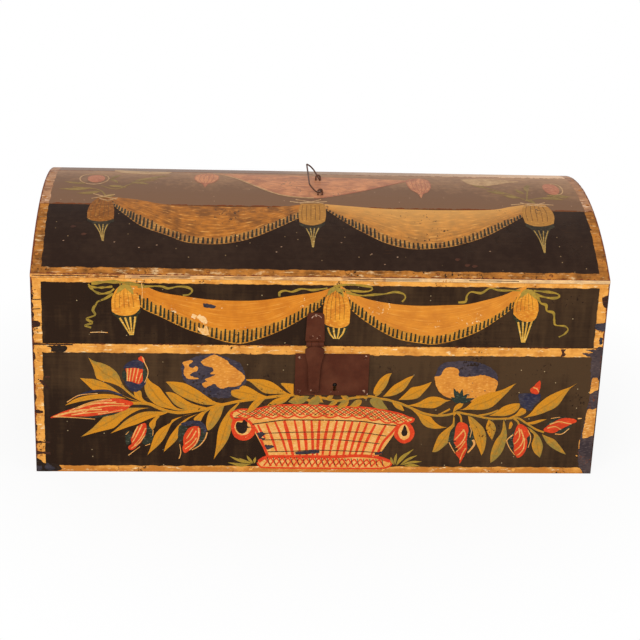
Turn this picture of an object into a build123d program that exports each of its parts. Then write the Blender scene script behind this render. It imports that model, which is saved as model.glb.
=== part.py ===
from build123d import *
import os
from math import atan2, cos, degrees, radians, sin, sqrt

# Dome-lidded wedding chest of thin beech boards, in millimetres.
# The origin is the centre of the underside. +X runs to the right along the front,
# +Y runs from the front to the back, +Z is up.

# Carcass
chest_length = 560.0
chest_depth = 320.0
body_height = 137.0
wall_thickness = 8.0
end_thickness = 9.0
bottom_thickness = 8.0
worn_arris = 0.8

# Lid
lid_gap = 0.3
rail_height = 71.0
rail_thickness = 8.0
lid_end_thickness = 9.0
dome_rise = 53.0
plank_thickness = 3.2
front_seam_y = -70.0
back_seam_y = 28.0
strip_seam_y = 123.0
seam_gap = 0.4
plank_arris = 0.9

# Wrought nails
nail_head_diameter = 4.0
nail_head_thickness = 0.8
nail_shank_diameter = 1.8
nail_fit = 0.04
nail_sink = 0.15
corner_nail_length = 26.0
corner_nail_margin = 18.0
corner_nail_pitch = 50.0
bottom_nail_margin = 80.0
bottom_nail_pitch = 133.0
dome_nail_length = 16.0
dome_nail_margin = 12.0
dome_nail_pitch = 38.0
edge_nail_length = 11.0
edge_nail_margin = 58.0
edge_nail_pitch = 111.0
edge_nail_lean = 12.0
edge_nail_sink = 0.5
plate_nail_head = 3.4
plate_nail_crown = 2.4
plate_nail_proud = 0.5
plate_nail_shank = 1.5
plate_nail_length = 5.5

# Back hinges: sheet iron leaves rolled round a pin
hinge_spacing = 340.0
hinge_width = 26.0
hinge_leaf_height = 34.0
hinge_sheet = 1.2
hinge_pin_radius = 1.2
hinge_pin_fit = 0.06
hinge_inset = 1.5
hinge_recess_room = 1.1
hinge_leaf_start = 4.0
knuckle_gap = 0.3
lid_opening = 105.0
bevel_room = 1.0
hinge_nail_margin = 6.0
hinge_nail_low = 12.0
hinge_nail_high = 28.0

# Hasp
hasp_x = -6.4
hasp_pin_height = 2.6
hasp_barrel_radius = 2.6
hasp_barrel_width = 17.0
hasp_knuckle_width = 7.0
hasp_pin_radius = 1.1
hasp_plate_sheet = 1.6
hasp_plate_width = 19.0
hasp_plate_top_width = 16.4
hasp_plate_height = 32.0
hasp_plate_nail_spacing = 8.4
hasp_plate_nail_low = 7.0
hasp_plate_nail_high = 29.6
hasp_sheet = 1.7
hasp_reach = 50.3
hasp_neck_width = 10.4
hasp_shoulder_width = 18.8
hasp_shoulder_top = 5.0
hasp_shoulder_bottom = 9.0
hasp_waist_width = 12.6
hasp_waist_drop = 21.5
hasp_tip_width = 10.0
hasp_tip_run = 6.0
hasp_corner = 1.6
flute_width = 4.0
flute_depth = 0.35
flute_stop = 9.6

# Staple riveted to the hasp
staple_foot_gap = 0.1
staple_drop = 47.7
staple_thickness = 2.0
staple_bar = 1.4
staple_hole_height = 4.8
staple_foot_width = 8.6
staple_foot_height = 4.4
staple_foot_thickness = 1.0
rivet_spacing = 4.5
rivet_radius = 0.7
rivet_head_radius = 1.3
rivet_crown_radius = 0.8
rivet_head_height = 0.7

# Lock
lock_plate_offset = 17.8
lock_plate_width = 72.8
lock_plate_height = 43.8
lock_plate_drop = 7.8
lock_plate_sheet = 1.2
lock_plate_nail_inset = 4.2
slot_side_room = 0.4
slot_floor_room = 0.9
keyhole_offset = 21.0
keyhole_drop = 40.5
keyhole_radius = 2.2
keyhole_slot_width = 3.0
keyhole_slot_drop = 6.2
keyhole_lip_radius = 3.6
keyhole_lip_thickness = 0.6
lock_recess_margin = 3.0
lock_recess_floor = 2.6
lock_recess_head = 8.4
bolt_thickness = 2.4
bolt_play = 0.15
bolt_nose_height = 3.0
bolt_throw = 7.0
bolt_retreat = 1.0
bolt_arm_width = 3.6
bolt_length = 35.0
bolt_bar_height = 6.0
key_room = 0.4
talon_radius = 3.6
guide_strap = 1.0
guide_width = 4.0
guide_foot = 3.4
guide_room = 0.5
key_bridge_height = 7.0
key_bridge_sheet = 0.9
key_post_radius = 1.1
spring_sheet = 0.5
spring_width = 2.0
spring_foot = 3.0
spring_room = 0.12

# Bail: a loop of iron wire in two staples on the top plank
bail_x = 1.5
bail_y = -23.0
bail_axis_height = 3.6
bail_half_span = 21.0
bail_wire_radius = 0.8
bail_reach = 16.0
bail_shoulder_reach = 8.0
bail_half_width = 37.0
bail_top_half_width = 31.0
bail_end_run = 2.5
bail_tail = 2.0
bail_tail_bend = 1.2
bail_shoulder_bend = 4.0
bail_corner_bend = 5.0
bail_lean = 47.0
bail_lying_angle = 95.0
bail_staple_wire_radius = 0.9
bail_staple_room = 0.5
bail_clinch_length = 6.0
bail_clinch_room = 0.35
bail_arch_flat = 0.02

# Values that follow from the sizes above
half_length = chest_length / 2
half_depth = chest_depth / 2
joint_height = body_height + lid_gap
spring_height = joint_height + rail_height
dome_radius = (half_depth ** 2 + dome_rise ** 2) / (2 * dome_rise)
dome_centre_z = spring_height + dome_rise - dome_radius
inner_dome_radius = dome_radius - plank_thickness
crown_height = spring_height + dome_rise
hinge_y = half_depth - hinge_inset
hinge_z = body_height + lid_gap / 2
hinge_barrel_radius = hinge_inset + hinge_sheet
hinge_recess_radius = hinge_barrel_radius + hinge_recess_room
hasp_pin_y = -half_depth - hasp_barrel_radius
hasp_pin_z = joint_height + hasp_pin_height
hasp_back_y = -half_depth - lock_plate_sheet - staple_foot_gap - staple_foot_thickness
hasp_front_y = hasp_back_y - hasp_sheet
staple_z = hasp_pin_z - staple_drop
staple_half_height = staple_hole_height / 2 + staple_bar
lock_plate_x = hasp_x + lock_plate_offset
lock_plate_top = body_height - lock_plate_drop
lock_plate_bottom = lock_plate_top - lock_plate_height
lock_recess_depth = wall_thickness - lock_recess_floor
keyhole_x = hasp_x + keyhole_offset
keyhole_z = body_height - keyhole_drop
bolt_front_y = -half_depth + bolt_play
bolt_back_y = bolt_front_y + bolt_thickness
staple_tip_y = bolt_back_y + 2 * bolt_play + staple_bar
bolt_tip_x = hasp_x + staple_thickness / 2 + bolt_retreat
bolt_arm_x = bolt_tip_x + bolt_throw
bolt_bar_z = keyhole_z + keyhole_slot_drop + key_room
guide_offsets = (bolt_arm_width + guide_room + guide_width / 2,
                 bolt_length - bolt_throw - guide_room - guide_width / 2)


def block(x_low, x_high, y_low, y_high, z_low, z_high):
    """A squared board or bar between six faces."""
    size = (x_high - x_low, y_high - y_low, z_high - z_low)
    return Pos(x_low, y_low, z_low) * Box(*size, align=(Align.MIN, Align.MIN, Align.MIN))


def rod(start, direction, radius, length):
    """A round bar from a point along a direction."""
    stock = Cylinder(radius, length, align=(Align.CENTER, Align.CENTER, Align.MIN))
    return Plane(origin=start, z_dir=direction) * stock


def long_barrel(radius, x_low, x_high, y, z):
    """A cylinder that lies along X."""
    return rod((x_low, y, z), (1, 0, 0), radius, x_high - x_low)


def spread(low, high, margin, pitch):
    """Even places between two ends, kept a margin in from each, or one in the middle."""
    span = high - low - 2 * margin
    if span < pitch / 2:
        return [(low + high) / 2]
    gaps = max(1, round(span / pitch))
    return [low + margin + span * step / gaps for step in range(gaps + 1)]


def dome_height(y):
    """Height of the dome's outer face above the base."""
    return dome_centre_z + sqrt(dome_radius ** 2 - y ** 2)


def ease(board, face_axis, radius):
    """Round the arrises of a board's outer face, as handling wears them."""
    outer = board.faces().sort_by(face_axis)[-1]
    return fillet(outer.edges(), radius)


def nail(seat, length, sink=nail_sink):
    """A wrought nail with a flat head, let in a little below the face."""
    point, inward = seat
    plane = Plane(origin=point, z_dir=inward)
    low = (Align.CENTER, Align.CENTER, Align.MIN)
    head = Cylinder(nail_head_diameter / 2, nail_head_thickness, align=low)
    shank = Cylinder(nail_shank_diameter / 2, length, align=low)
    return plane * Pos(0, 0, sink) * (head + shank)


def nail_hole(seat, length, sink=nail_sink):
    """The hole that a nail fills, open to the face."""
    point, inward = seat
    plane = Plane(origin=point, z_dir=inward)
    low = (Align.CENTER, Align.CENTER, Align.MIN)
    head_depth = nail_head_thickness + sink + nail_fit
    open_above = nail_head_diameter
    head = Pos(0, 0, -open_above) * Cylinder(
        nail_head_diameter / 2 + nail_fit, open_above + head_depth, align=low)
    shank = Cylinder(nail_shank_diameter / 2 + nail_fit, length + sink + nail_fit, align=low)
    return plane * (head + shank)


def plate_nail(seat, sheet):
    """A small nail whose low domed head stands on an iron plate."""
    point, inward = seat
    plane = Plane(origin=point, z_dir=inward)
    low = (Align.CENTER, Align.CENTER, Align.MIN)
    head = Cone(plate_nail_crown / 2, plate_nail_head / 2, plate_nail_proud, align=low)
    shank = Cylinder(plate_nail_shank / 2, sheet + plate_nail_length, align=low)
    return plane * (Pos(0, 0, -plate_nail_proud) * head + shank)


def plate_nail_hole(seat, sheet):
    """The hole of a plate nail, through the plate and into the wood."""
    point, inward = seat
    depth = sheet + plate_nail_length + nail_fit
    return rod(point, inward, plate_nail_shank / 2 + nail_fit, depth)


def corner_nail_seats():
    """Nails through the front and back boards into the end boards."""
    heights = spread(0, body_height, corner_nail_margin, corner_nail_pitch)
    seats = []
    for side in (-1, 1):
        for end in (-1, 1):
            x = end * (half_length - end_thickness / 2)
            seats += [((x, side * half_depth, z), (0, -side, 0)) for z in heights]
    return seats


def bottom_nail_seats():
    """Nails through the front and back boards into the bottom board."""
    places = spread(-half_length, half_length, bottom_nail_margin, bottom_nail_pitch)
    z = bottom_thickness / 2
    return [((x, side * half_depth, z), (0, -side, 0)) for side in (-1, 1) for x in places]


def end_nail_seats():
    """Nails through the end boards into the bottom board."""
    z = bottom_thickness / 2
    places = spread(-half_depth, half_depth, bottom_nail_margin, bottom_nail_pitch)
    return [((end * half_length, y, z), (-end, 0, 0)) for end in (-1, 1) for y in places]


def rail_nail_seats():
    """Nails through the lid's rails into its arched ends."""
    low = joint_height
    heights = spread(low, low + rail_height, corner_nail_margin, corner_nail_pitch)
    seats = []
    for side in (-1, 1):
        for end in (-1, 1):
            x = end * (half_length - lid_end_thickness / 2)
            seats += [((x, side * half_depth, z), (0, -side, 0)) for z in heights]
    return seats


def dome_nail_seats():
    """Nails through the planks into the arched ends, square to the dome."""
    stretches = ((-half_depth + rail_thickness, front_seam_y),
                 (front_seam_y, back_seam_y),
                 (back_seam_y, strip_seam_y),
                 (strip_seam_y, half_depth - rail_thickness))
    seats = []
    for low, high in stretches:
        for y in spread(low, high, dome_nail_margin, dome_nail_pitch):
            z = dome_height(y)
            inward = (0, -y, dome_centre_z - z)
            for end in (-1, 1):
                x = end * (half_length - lid_end_thickness / 2)
                seats.append(((x, y, z), inward))
    return seats


def edge_nail_seats():
    """Short nails through the edges of the outer planks into the rails."""
    y = half_depth - rail_thickness / 2
    lean = radians(edge_nail_lean)
    seats = []
    for side in (-1, 1):
        for x in spread(-half_length, half_length, edge_nail_margin, edge_nail_pitch):
            inward = (0, -side * sin(lean), -cos(lean))
            seats.append(((x, side * y, dome_height(y)), inward))
    return seats


def hinge_centres():
    """Middles of the two hinges along X."""
    return (-hinge_spacing / 2, hinge_spacing / 2)


def hinge_nail_seats(up):
    """Three nails in each leaf, on the body below or on the lid above."""
    side = 1 if up else -1
    wide = hinge_width / 2 - hinge_nail_margin
    seats = []
    for centre in hinge_centres():
        for shift, drop in ((-wide, hinge_nail_low), (wide, hinge_nail_low), (0, hinge_nail_high)):
            place = (centre + shift, half_depth + hinge_sheet, hinge_z + side * drop)
            seats.append((place, (0, -1, 0)))
    return seats


def hasp_plate_nail_seats():
    """Two nails beside the knuckles of the hasp's fixed plate and one at its top."""
    y = -half_depth - hasp_plate_sheet
    wide = hasp_plate_nail_spacing / 2
    places = ((-wide, hasp_plate_nail_low), (wide, hasp_plate_nail_low), (0, hasp_plate_nail_high))
    return [((hasp_x + shift, y, hasp_pin_z + rise), (0, 1, 0)) for shift, rise in places]


def lock_plate_nail_seats():
    """A nail in each corner of the lock plate."""
    y = -half_depth - lock_plate_sheet
    wide = lock_plate_width / 2 - lock_plate_nail_inset
    low = lock_plate_bottom + lock_plate_nail_inset
    high = lock_plate_top - lock_plate_nail_inset
    places = [(side * wide, z) for side in (-1, 1) for z in (low, high)]
    return [((lock_plate_x + shift, y, z), (0, 1, 0)) for shift, z in places]


def hinge_recess(centre):
    """Room in both back boards for one hinge barrel as it turns."""
    half = hinge_width / 2 + knuckle_gap
    return long_barrel(hinge_recess_radius, centre - half, centre + half, hinge_y, hinge_z)


def back_bevel(side):
    """The planed back arris: with its twin it lets the lid stand open and stops it."""
    slope = radians((lid_opening + bevel_room) / 2)
    z = hinge_z + side * lid_gap / 2
    reach = 2 * hinge_inset
    fall = side * reach * sin(slope) / cos(slope)
    corner = Polyline((hinge_y, z), (hinge_y + reach, z + fall), (hinge_y + reach, z), close=True)
    return extrude(Plane.YZ * make_face(corner), amount=half_length + 1, both=True)


def lock_recess():
    """The bed let into the front board for the lock, closed by its plate."""
    low = bolt_tip_x - bolt_throw - bolt_retreat
    high = bolt_arm_x + bolt_length + lock_recess_margin
    floor = staple_z - staple_half_height - slot_floor_room
    roof = lock_plate_top - lock_recess_head
    return block(low, high, -half_depth - 1, -half_depth + lock_recess_depth, floor, roof)


def staple_path(y_low, y_high, top):
    """The open-topped way for the hasp's staple, through plate and board."""
    half = staple_thickness / 2 + slot_side_room
    floor = staple_z - staple_half_height - slot_floor_room
    return block(hasp_x - half, hasp_x + half, y_low, y_high, floor, top)


def front_board():
    board = block(-half_length, half_length, -half_depth, -half_depth + wall_thickness,
                  0, body_height)
    board = ease(board, -Axis.Y, worn_arris)
    board -= lock_recess()
    board -= staple_path(-half_depth - 1, -half_depth + lock_recess_depth, body_height + 1)
    holes = [nail_hole(seat, corner_nail_length) for seat in front_half(corner_nail_seats())]
    holes += [nail_hole(seat, corner_nail_length) for seat in front_half(bottom_nail_seats())]
    holes += [plate_nail_hole(seat, lock_plate_sheet) for seat in lock_plate_nail_seats()]
    return board - holes


def back_board():
    board = block(-half_length, half_length, half_depth - wall_thickness, half_depth,
                  0, body_height)
    board = ease(board, Axis.Y, worn_arris)
    board -= back_bevel(-1)
    board -= [hinge_recess(centre) for centre in hinge_centres()]
    holes = [nail_hole(seat, corner_nail_length) for seat in back_half(corner_nail_seats())]
    holes += [nail_hole(seat, corner_nail_length) for seat in back_half(bottom_nail_seats())]
    holes += [plate_nail_hole(seat, hinge_sheet) for seat in hinge_nail_seats(up=False)]
    return board - holes


def front_half(seats):
    """The seats on the front of the chest."""
    return [seat for seat in seats if seat[0][1] < 0]


def back_half(seats):
    """The seats on the back of the chest."""
    return [seat for seat in seats if seat[0][1] > 0]


def end_half(seats, end):
    """The seats on the left half at -1, on the right half at +1."""
    return [seat for seat in seats if seat[0][0] * end > 0]


def end_board(end):
    inner = half_length - end_thickness
    low, high = sorted((end * inner, end * half_length))
    reach = half_depth - wall_thickness
    board = block(low, high, -reach, reach, 0, body_height)
    holes = [nail_hole(seat, corner_nail_length) for seat in end_half(corner_nail_seats(), end)]
    holes += [nail_hole(seat, corner_nail_length) for seat in end_half(end_nail_seats(), end)]
    return board - holes


def bottom_board():
    wide = half_length - end_thickness
    deep = half_depth - wall_thickness
    board = block(-wide, wide, -deep, deep, 0, bottom_thickness)
    seats = bottom_nail_seats() + end_nail_seats()
    return board - [nail_hole(seat, corner_nail_length) for seat in seats]


def under_dome(radius, stock):
    """Trim a lid piece to a cylinder of the dome."""
    return stock & long_barrel(radius, -half_length - 1, half_length + 1, 0, dome_centre_z)


def lid_rail(side):
    """The straight front or back of the lid, its top planed to the planks."""
    low, high = sorted((side * (half_depth - rail_thickness), side * half_depth))
    stock = block(-half_length, half_length, low, high, joint_height, crown_height)
    rail = under_dome(inner_dome_radius, stock)
    rail = ease(rail, Axis.Y if side > 0 else -Axis.Y, worn_arris)
    seats = rail_nail_seats()
    seats = front_half(seats) if side < 0 else back_half(seats)
    edge_seats = edge_nail_seats()
    edge_seats = front_half(edge_seats) if side < 0 else back_half(edge_seats)
    rail -= [nail_hole(seat, corner_nail_length) for seat in seats]
    rail -= [nail_hole(seat, edge_nail_length, edge_nail_sink) for seat in edge_seats]
    return rail


def lid_front_rail():
    rail = lid_rail(-1)
    return rail - [plate_nail_hole(seat, hasp_plate_sheet) for seat in hasp_plate_nail_seats()]


def lid_back_rail():
    rail = lid_rail(1) - back_bevel(1)
    rail -= [hinge_recess(centre) for centre in hinge_centres()]
    return rail - [plate_nail_hole(seat, hinge_sheet) for seat in hinge_nail_seats(up=True)]


def lid_end(end):
    """An arched end board of the lid."""
    low, high = sorted((end * (half_length - lid_end_thickness), end * half_length))
    reach = half_depth - rail_thickness
    stock = block(low, high, -reach, reach, joint_height, crown_height)
    board = under_dome(inner_dome_radius, stock)
    board -= [nail_hole(seat, corner_nail_length) for seat in end_half(rail_nail_seats(), end)]
    return board - [nail_hole(seat, dome_nail_length) for seat in end_half(dome_nail_seats(), end)]


def dome_plank(y_low, y_high):
    """One thin board bent over the arched ends."""
    stock = block(-half_length, half_length, y_low, y_high, joint_height + rail_height / 2,
                  crown_height + 1)
    plank = under_dome(dome_radius, stock)
    plank -= long_barrel(inner_dome_radius, -half_length - 1, half_length + 1, 0, dome_centre_z)
    outer = [edge for edge in plank.edges() if on_dome(edge)]
    plank = fillet(outer, plank_arris)
    end_seats = [seat for seat in dome_nail_seats() if y_low < seat[0][1] < y_high]
    edge_seats = [seat for seat in edge_nail_seats() if y_low < seat[0][1] < y_high]
    plank -= [nail_hole(seat, dome_nail_length) for seat in end_seats]
    return plank - [nail_hole(seat, edge_nail_length, edge_nail_sink) for seat in edge_seats]


def on_dome(edge):
    """Whether a plank's edge lies on the dome's outer face."""
    middle = edge @ 0.5
    reach = sqrt(middle.Y ** 2 + (middle.Z - dome_centre_z) ** 2)
    return abs(reach - dome_radius) < plank_thickness / 4


def dome_front_plank():
    return dome_plank(-half_depth, front_seam_y - seam_gap / 2)


def dome_top_plank():
    plank = dome_plank(front_seam_y + seam_gap / 2, back_seam_y - seam_gap / 2)
    for side in (-1, 1):
        for leg in (-1, 1):
            x, y, z = bail_leg(side, leg)
            plank -= rod((x, y, z), (0, 0, -1), bail_staple_wire_radius + nail_fit,
                         2 * (bail_axis_height + plank_thickness))
    return plank


def dome_back_plank():
    return dome_plank(back_seam_y + seam_gap / 2, strip_seam_y - seam_gap / 2)


def dome_back_strip():
    return dome_plank(strip_seam_y + seam_gap / 2, half_depth)


def hinge_leaf(centre, up):
    """One sheet leaf with its rolled knuckles: two below, one above."""
    side = 1 if up else -1
    y_low, y_high = half_depth, half_depth + hinge_sheet
    wide = hinge_width / 2
    near, far = sorted((hinge_z + side * hinge_leaf_start, hinge_z + side * hinge_leaf_height))
    leaf = block(centre - wide, centre + wide, y_low, y_high, near, far)
    third = hinge_width / 3
    if up:
        spans = [(centre - third / 2 + knuckle_gap / 2, centre + third / 2 - knuckle_gap / 2)]
    else:
        spans = [(centre - wide, centre - third / 2 - knuckle_gap / 2),
                 (centre + third / 2 + knuckle_gap / 2, centre + wide)]
    neck_low, neck_high = sorted((hinge_z, hinge_z + side * hinge_leaf_start))
    for low, high in spans:
        leaf += block(low, high, y_low, y_high, neck_low, neck_high)
        leaf += long_barrel(hinge_barrel_radius, low, high, hinge_y, hinge_z)
        leaf -= long_barrel(hinge_pin_radius + hinge_pin_fit, low - 1, high + 1, hinge_y, hinge_z)
    seats = [seat for seat in hinge_nail_seats(up) if abs(seat[0][0] - centre) < wide]
    return leaf - [plate_nail_hole(seat, hinge_sheet) for seat in seats]


def hinge_leaves(up):
    return [hinge_leaf(centre, up) for centre in hinge_centres()]


def hinge_pins():
    half = hinge_width / 2
    return [long_barrel(hinge_pin_radius, centre - half, centre + half, hinge_y, hinge_z)
            for centre in hinge_centres()]


def hasp_plate():
    """The fixed plate nailed to the lid's front rail, with the two outer knuckles."""
    low_half = hasp_plate_width / 2
    top_half = hasp_plate_top_width / 2
    start = hasp_pin_z + hasp_barrel_radius
    top = hasp_pin_z + hasp_plate_height
    outline = Polyline((hasp_x - low_half, start), (hasp_x + low_half, start),
                       (hasp_x + top_half, top), (hasp_x - top_half, top), close=True)
    sheet = make_face(outline)
    sheet = fillet(sheet.vertices().sort_by(Axis.Y)[-2:], hasp_corner * 2)
    plate = Plane(origin=(0, -half_depth, 0), x_dir=(1, 0, 0), z_dir=(0, -1, 0)) * sheet
    plate = extrude(plate, amount=hasp_plate_sheet)
    half_barrel = hasp_barrel_width / 2
    half_knuckle = hasp_knuckle_width / 2 + knuckle_gap
    for low, high in ((-half_barrel, -half_knuckle), (half_knuckle, half_barrel)):
        neck = block(hasp_x + low, hasp_x + high, -half_depth - hasp_plate_sheet, -half_depth,
                     hasp_pin_z, start + 1)
        plate += neck + long_barrel(hasp_barrel_radius, hasp_x + low, hasp_x + high,
                                    hasp_pin_y, hasp_pin_z)
    bore = hasp_pin_radius + hinge_pin_fit
    plate -= long_barrel(bore, hasp_x - half_barrel - 1, hasp_x + half_barrel + 1,
                         hasp_pin_y, hasp_pin_z)
    return plate - [plate_nail_hole(seat, hasp_plate_sheet) for seat in hasp_plate_nail_seats()]


def hasp_pin():
    half = hasp_barrel_width / 2
    return long_barrel(hasp_pin_radius, hasp_x - half, hasp_x + half, hasp_pin_y, hasp_pin_z)


def hasp_outline():
    """One side of the swinging tongue, from the knuckle down to the tip."""
    return [(hasp_neck_width / 2, hasp_pin_z),
            (hasp_neck_width / 2, hasp_pin_z - hasp_barrel_radius),
            (hasp_shoulder_width / 2, hasp_pin_z - hasp_shoulder_top),
            (hasp_shoulder_width / 2, hasp_pin_z - hasp_shoulder_bottom),
            (hasp_waist_width / 2, hasp_pin_z - hasp_waist_drop),
            (hasp_tip_width / 2, hasp_pin_z - hasp_reach + hasp_tip_run),
            (hasp_tip_width / 2, hasp_pin_z - hasp_reach)]


def hasp():
    """The swinging tongue with its middle knuckle."""
    right = [(hasp_x + half, z) for half, z in hasp_outline()]
    left = [(hasp_x - half, z) for half, z in reversed(hasp_outline())]
    sheet = make_face(Polyline(*right, *left, close=True))
    lower = [corner for corner in sheet.vertices() if corner.Y < hasp_pin_z - hasp_barrel_radius - 1]
    sheet = fillet(lower, hasp_corner)
    tongue = Plane(origin=(0, hasp_back_y, 0), x_dir=(1, 0, 0), z_dir=(0, -1, 0)) * sheet
    tongue = extrude(tongue, amount=hasp_sheet)
    half_neck = hasp_neck_width / 2 + 1
    half_knuckle = hasp_knuckle_width / 2
    for low, high in ((-half_neck, -half_knuckle), (half_knuckle, half_neck)):
        room = hasp_barrel_radius + knuckle_gap
        tongue -= long_barrel(room, hasp_x + low, hasp_x + high, hasp_pin_y, hasp_pin_z)
    tongue += long_barrel(hasp_barrel_radius, hasp_x - half_knuckle, hasp_x + half_knuckle,
                          hasp_pin_y, hasp_pin_z)
    tongue -= long_barrel(hasp_pin_radius + hinge_pin_fit, hasp_x - half_knuckle - 1,
                          hasp_x + half_knuckle + 1, hasp_pin_y, hasp_pin_z)
    flute_radius = (flute_width ** 2 / 4 + flute_depth ** 2) / (2 * flute_depth)
    flute_low = hasp_pin_z - hasp_reach + flute_stop
    flute_run = hasp_reach - flute_stop - hasp_shoulder_top
    flute_y = hasp_front_y + flute_depth - flute_radius
    tongue -= rod((hasp_x, flute_y, flute_low), (0, 0, 1), flute_radius, flute_run)
    return tongue - [rivet_hole(x) for x in rivet_places()]


def rivet_places():
    return (hasp_x - rivet_spacing / 2, hasp_x + rivet_spacing / 2)


def rivet_length():
    return hasp_sheet + staple_foot_thickness


def rivet_hole(x):
    return rod((x, hasp_front_y - 1, staple_z), (0, 1, 0), rivet_radius + nail_fit, rivet_length() + 2)


def hasp_rivets():
    """Two rivets, peened over on the tongue's front and flush behind the staple's foot."""
    rivets = []
    for x in rivet_places():
        shank = rod((x, hasp_front_y, staple_z), (0, 1, 0), rivet_radius, rivet_length())
        head = Cone(rivet_head_radius, rivet_crown_radius, rivet_head_height,
                    align=(Align.CENTER, Align.CENTER, Align.MIN))
        rivets.append(shank + Plane(origin=(x, hasp_front_y, staple_z), z_dir=(0, -1, 0)) * head)
    return rivets


def hasp_staple():
    """The flat loop behind the tongue that the bolt passes through."""
    half = staple_thickness / 2
    foot_half = staple_foot_width / 2
    foot = block(hasp_x - foot_half, hasp_x + foot_half, hasp_back_y,
                 hasp_back_y + staple_foot_thickness,
                 staple_z - staple_foot_height / 2, staple_z + staple_foot_height / 2)
    outer = block(hasp_x - half, hasp_x + half, hasp_back_y + staple_foot_thickness / 2,
                  staple_tip_y, staple_z - staple_half_height, staple_z + staple_half_height)
    rounded = outer.edges().filter_by(Axis.X).sort_by(Axis.Y)[-2:]
    outer = fillet(rounded, staple_bar)
    hole = block(hasp_x - half - 1, hasp_x + half + 1, hasp_back_y + staple_foot_thickness,
                 staple_tip_y - staple_bar, staple_z - staple_hole_height / 2,
                 staple_z + staple_hole_height / 2)
    loop = foot + (outer - hole)
    return loop - [rivet_hole(x) for x in rivet_places()]


def keyhole(y, depth):
    """The keyhole's round and slot, cut along Y."""
    cut = rod((keyhole_x, y, keyhole_z), (0, 1, 0), keyhole_radius, depth)
    half = keyhole_slot_width / 2
    floor = keyhole_z - keyhole_slot_drop
    return cut + block(keyhole_x - half, keyhole_x + half, y, y + depth, floor, keyhole_z)


def lock_plate():
    """The sheet iron plate: keyhole, lip below it, and the way for the hasp's staple."""
    low = lock_plate_x - lock_plate_width / 2
    high = lock_plate_x + lock_plate_width / 2
    plate = block(low, high, -half_depth - lock_plate_sheet, -half_depth,
                  lock_plate_bottom, lock_plate_top)
    front = -half_depth - lock_plate_sheet
    lip_z = keyhole_z - keyhole_slot_drop
    lip = rod((keyhole_x, front, lip_z), (0, -1, 0), keyhole_lip_radius, keyhole_lip_thickness)
    lip &= block(keyhole_x - keyhole_lip_radius, keyhole_x + keyhole_lip_radius,
                 front - keyhole_lip_thickness, front, lock_plate_bottom, lip_z + keyhole_radius / 2)
    plate = plate + lip - keyhole(front - 2, lock_plate_sheet + 4)
    plate -= staple_path(front - 1, -half_depth + 1, lock_plate_top + 1)
    return plate - [plate_nail_hole(seat, lock_plate_sheet) for seat in lock_plate_nail_seats()]


def lock_bolt():
    """The bolt, drawn back: its nose stands beside the staple, its bar runs above the key."""
    nose_low = staple_z - bolt_nose_height / 2
    nose = block(bolt_tip_x, bolt_arm_x, bolt_front_y, bolt_back_y,
                 nose_low, nose_low + bolt_nose_height)
    arm = block(bolt_arm_x, bolt_arm_x + bolt_arm_width, bolt_front_y, bolt_back_y,
                nose_low, bolt_bar_z + bolt_bar_height)
    run = block(bolt_arm_x, bolt_arm_x + bolt_length, bolt_front_y, bolt_back_y,
                bolt_bar_z, bolt_bar_z + bolt_bar_height)
    talon = rod((keyhole_x + bolt_throw / 2, bolt_front_y - 1, bolt_bar_z), (0, 1, 0),
                talon_radius, bolt_thickness + 2)
    return nose + arm + run - talon


def bolt_guides():
    """Two bridges riveted behind the plate that carry the bolt's bar."""
    guides = []
    back = bolt_back_y + bolt_play
    floor = bolt_bar_z - bolt_play
    roof = bolt_bar_z + bolt_bar_height + bolt_play
    for offset in guide_offsets:
        x = bolt_arm_x + offset
        outer = block(x - guide_width / 2, x + guide_width / 2, -half_depth, back + guide_strap,
                      floor - guide_strap, roof + guide_strap)
        inner = block(x - guide_width, x + guide_width, -half_depth - 1, back, floor, roof)
        foot = block(x - guide_width / 2, x + guide_width / 2, -half_depth,
                     -half_depth + guide_strap, roof + guide_strap, roof + guide_strap + guide_foot)
        guides.append(outer - inner + foot)
    return guides


def key_bridge():
    """A strap behind the keyhole that carries the key's post."""
    half = keyhole_slot_drop + key_room + key_bridge_sheet
    back = -half_depth + lock_recess_depth - bolt_play
    low = keyhole_z - key_bridge_height / 2
    high = keyhole_z + key_bridge_height / 2
    outer = block(keyhole_x - half, keyhole_x + half, -half_depth, back, low, high)
    room = block(keyhole_x - half + key_bridge_sheet, keyhole_x + half - key_bridge_sheet,
                 -half_depth - 1, back - key_bridge_sheet, low - 1, high + 1)
    return outer - room - rod((keyhole_x, back - 2 * key_bridge_sheet, keyhole_z), (0, 1, 0),
                              key_post_radius + nail_fit, 3 * key_bridge_sheet)


def key_post():
    """The post that a hollow key turns on."""
    back = -half_depth + lock_recess_depth - bolt_play
    length = back + half_depth
    return rod((keyhole_x, -half_depth, keyhole_z), (0, 1, 0), key_post_radius, length)


def lock_spring():
    """A leaf spring that rubs on the bolt's upper edge and holds it where it is put."""
    middle_y = (bolt_front_y + bolt_back_y) / 2
    y_low, y_high = middle_y - spring_width / 2, middle_y + spring_width / 2
    x_low = bolt_arm_x + guide_offsets[0] + guide_width / 2 + guide_room
    x_high = bolt_arm_x + guide_offsets[1] - guide_width / 2 - guide_room - spring_foot
    rest = bolt_bar_z + bolt_bar_height + spring_room
    bow = ThreePointArc((x_low, rest + spring_sheet), ((x_low + x_high) / 2, rest + 2 * spring_sheet),
                        (x_high, rest + spring_sheet))
    lower = ThreePointArc((x_high, rest), ((x_low + x_high) / 2, rest + spring_sheet), (x_low, rest))
    outline = bow + Line(bow @ 1, lower @ 0) + lower + Line(lower @ 1, bow @ 0)
    sheet = Plane(origin=(0, y_high, 0), x_dir=(1, 0, 0), z_dir=(0, -1, 0)) * make_face(outline)
    foot = block(x_high, x_high + spring_foot, -half_depth, y_high, rest, rest + spring_foot)
    return extrude(sheet, amount=y_high - y_low) + foot


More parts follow.
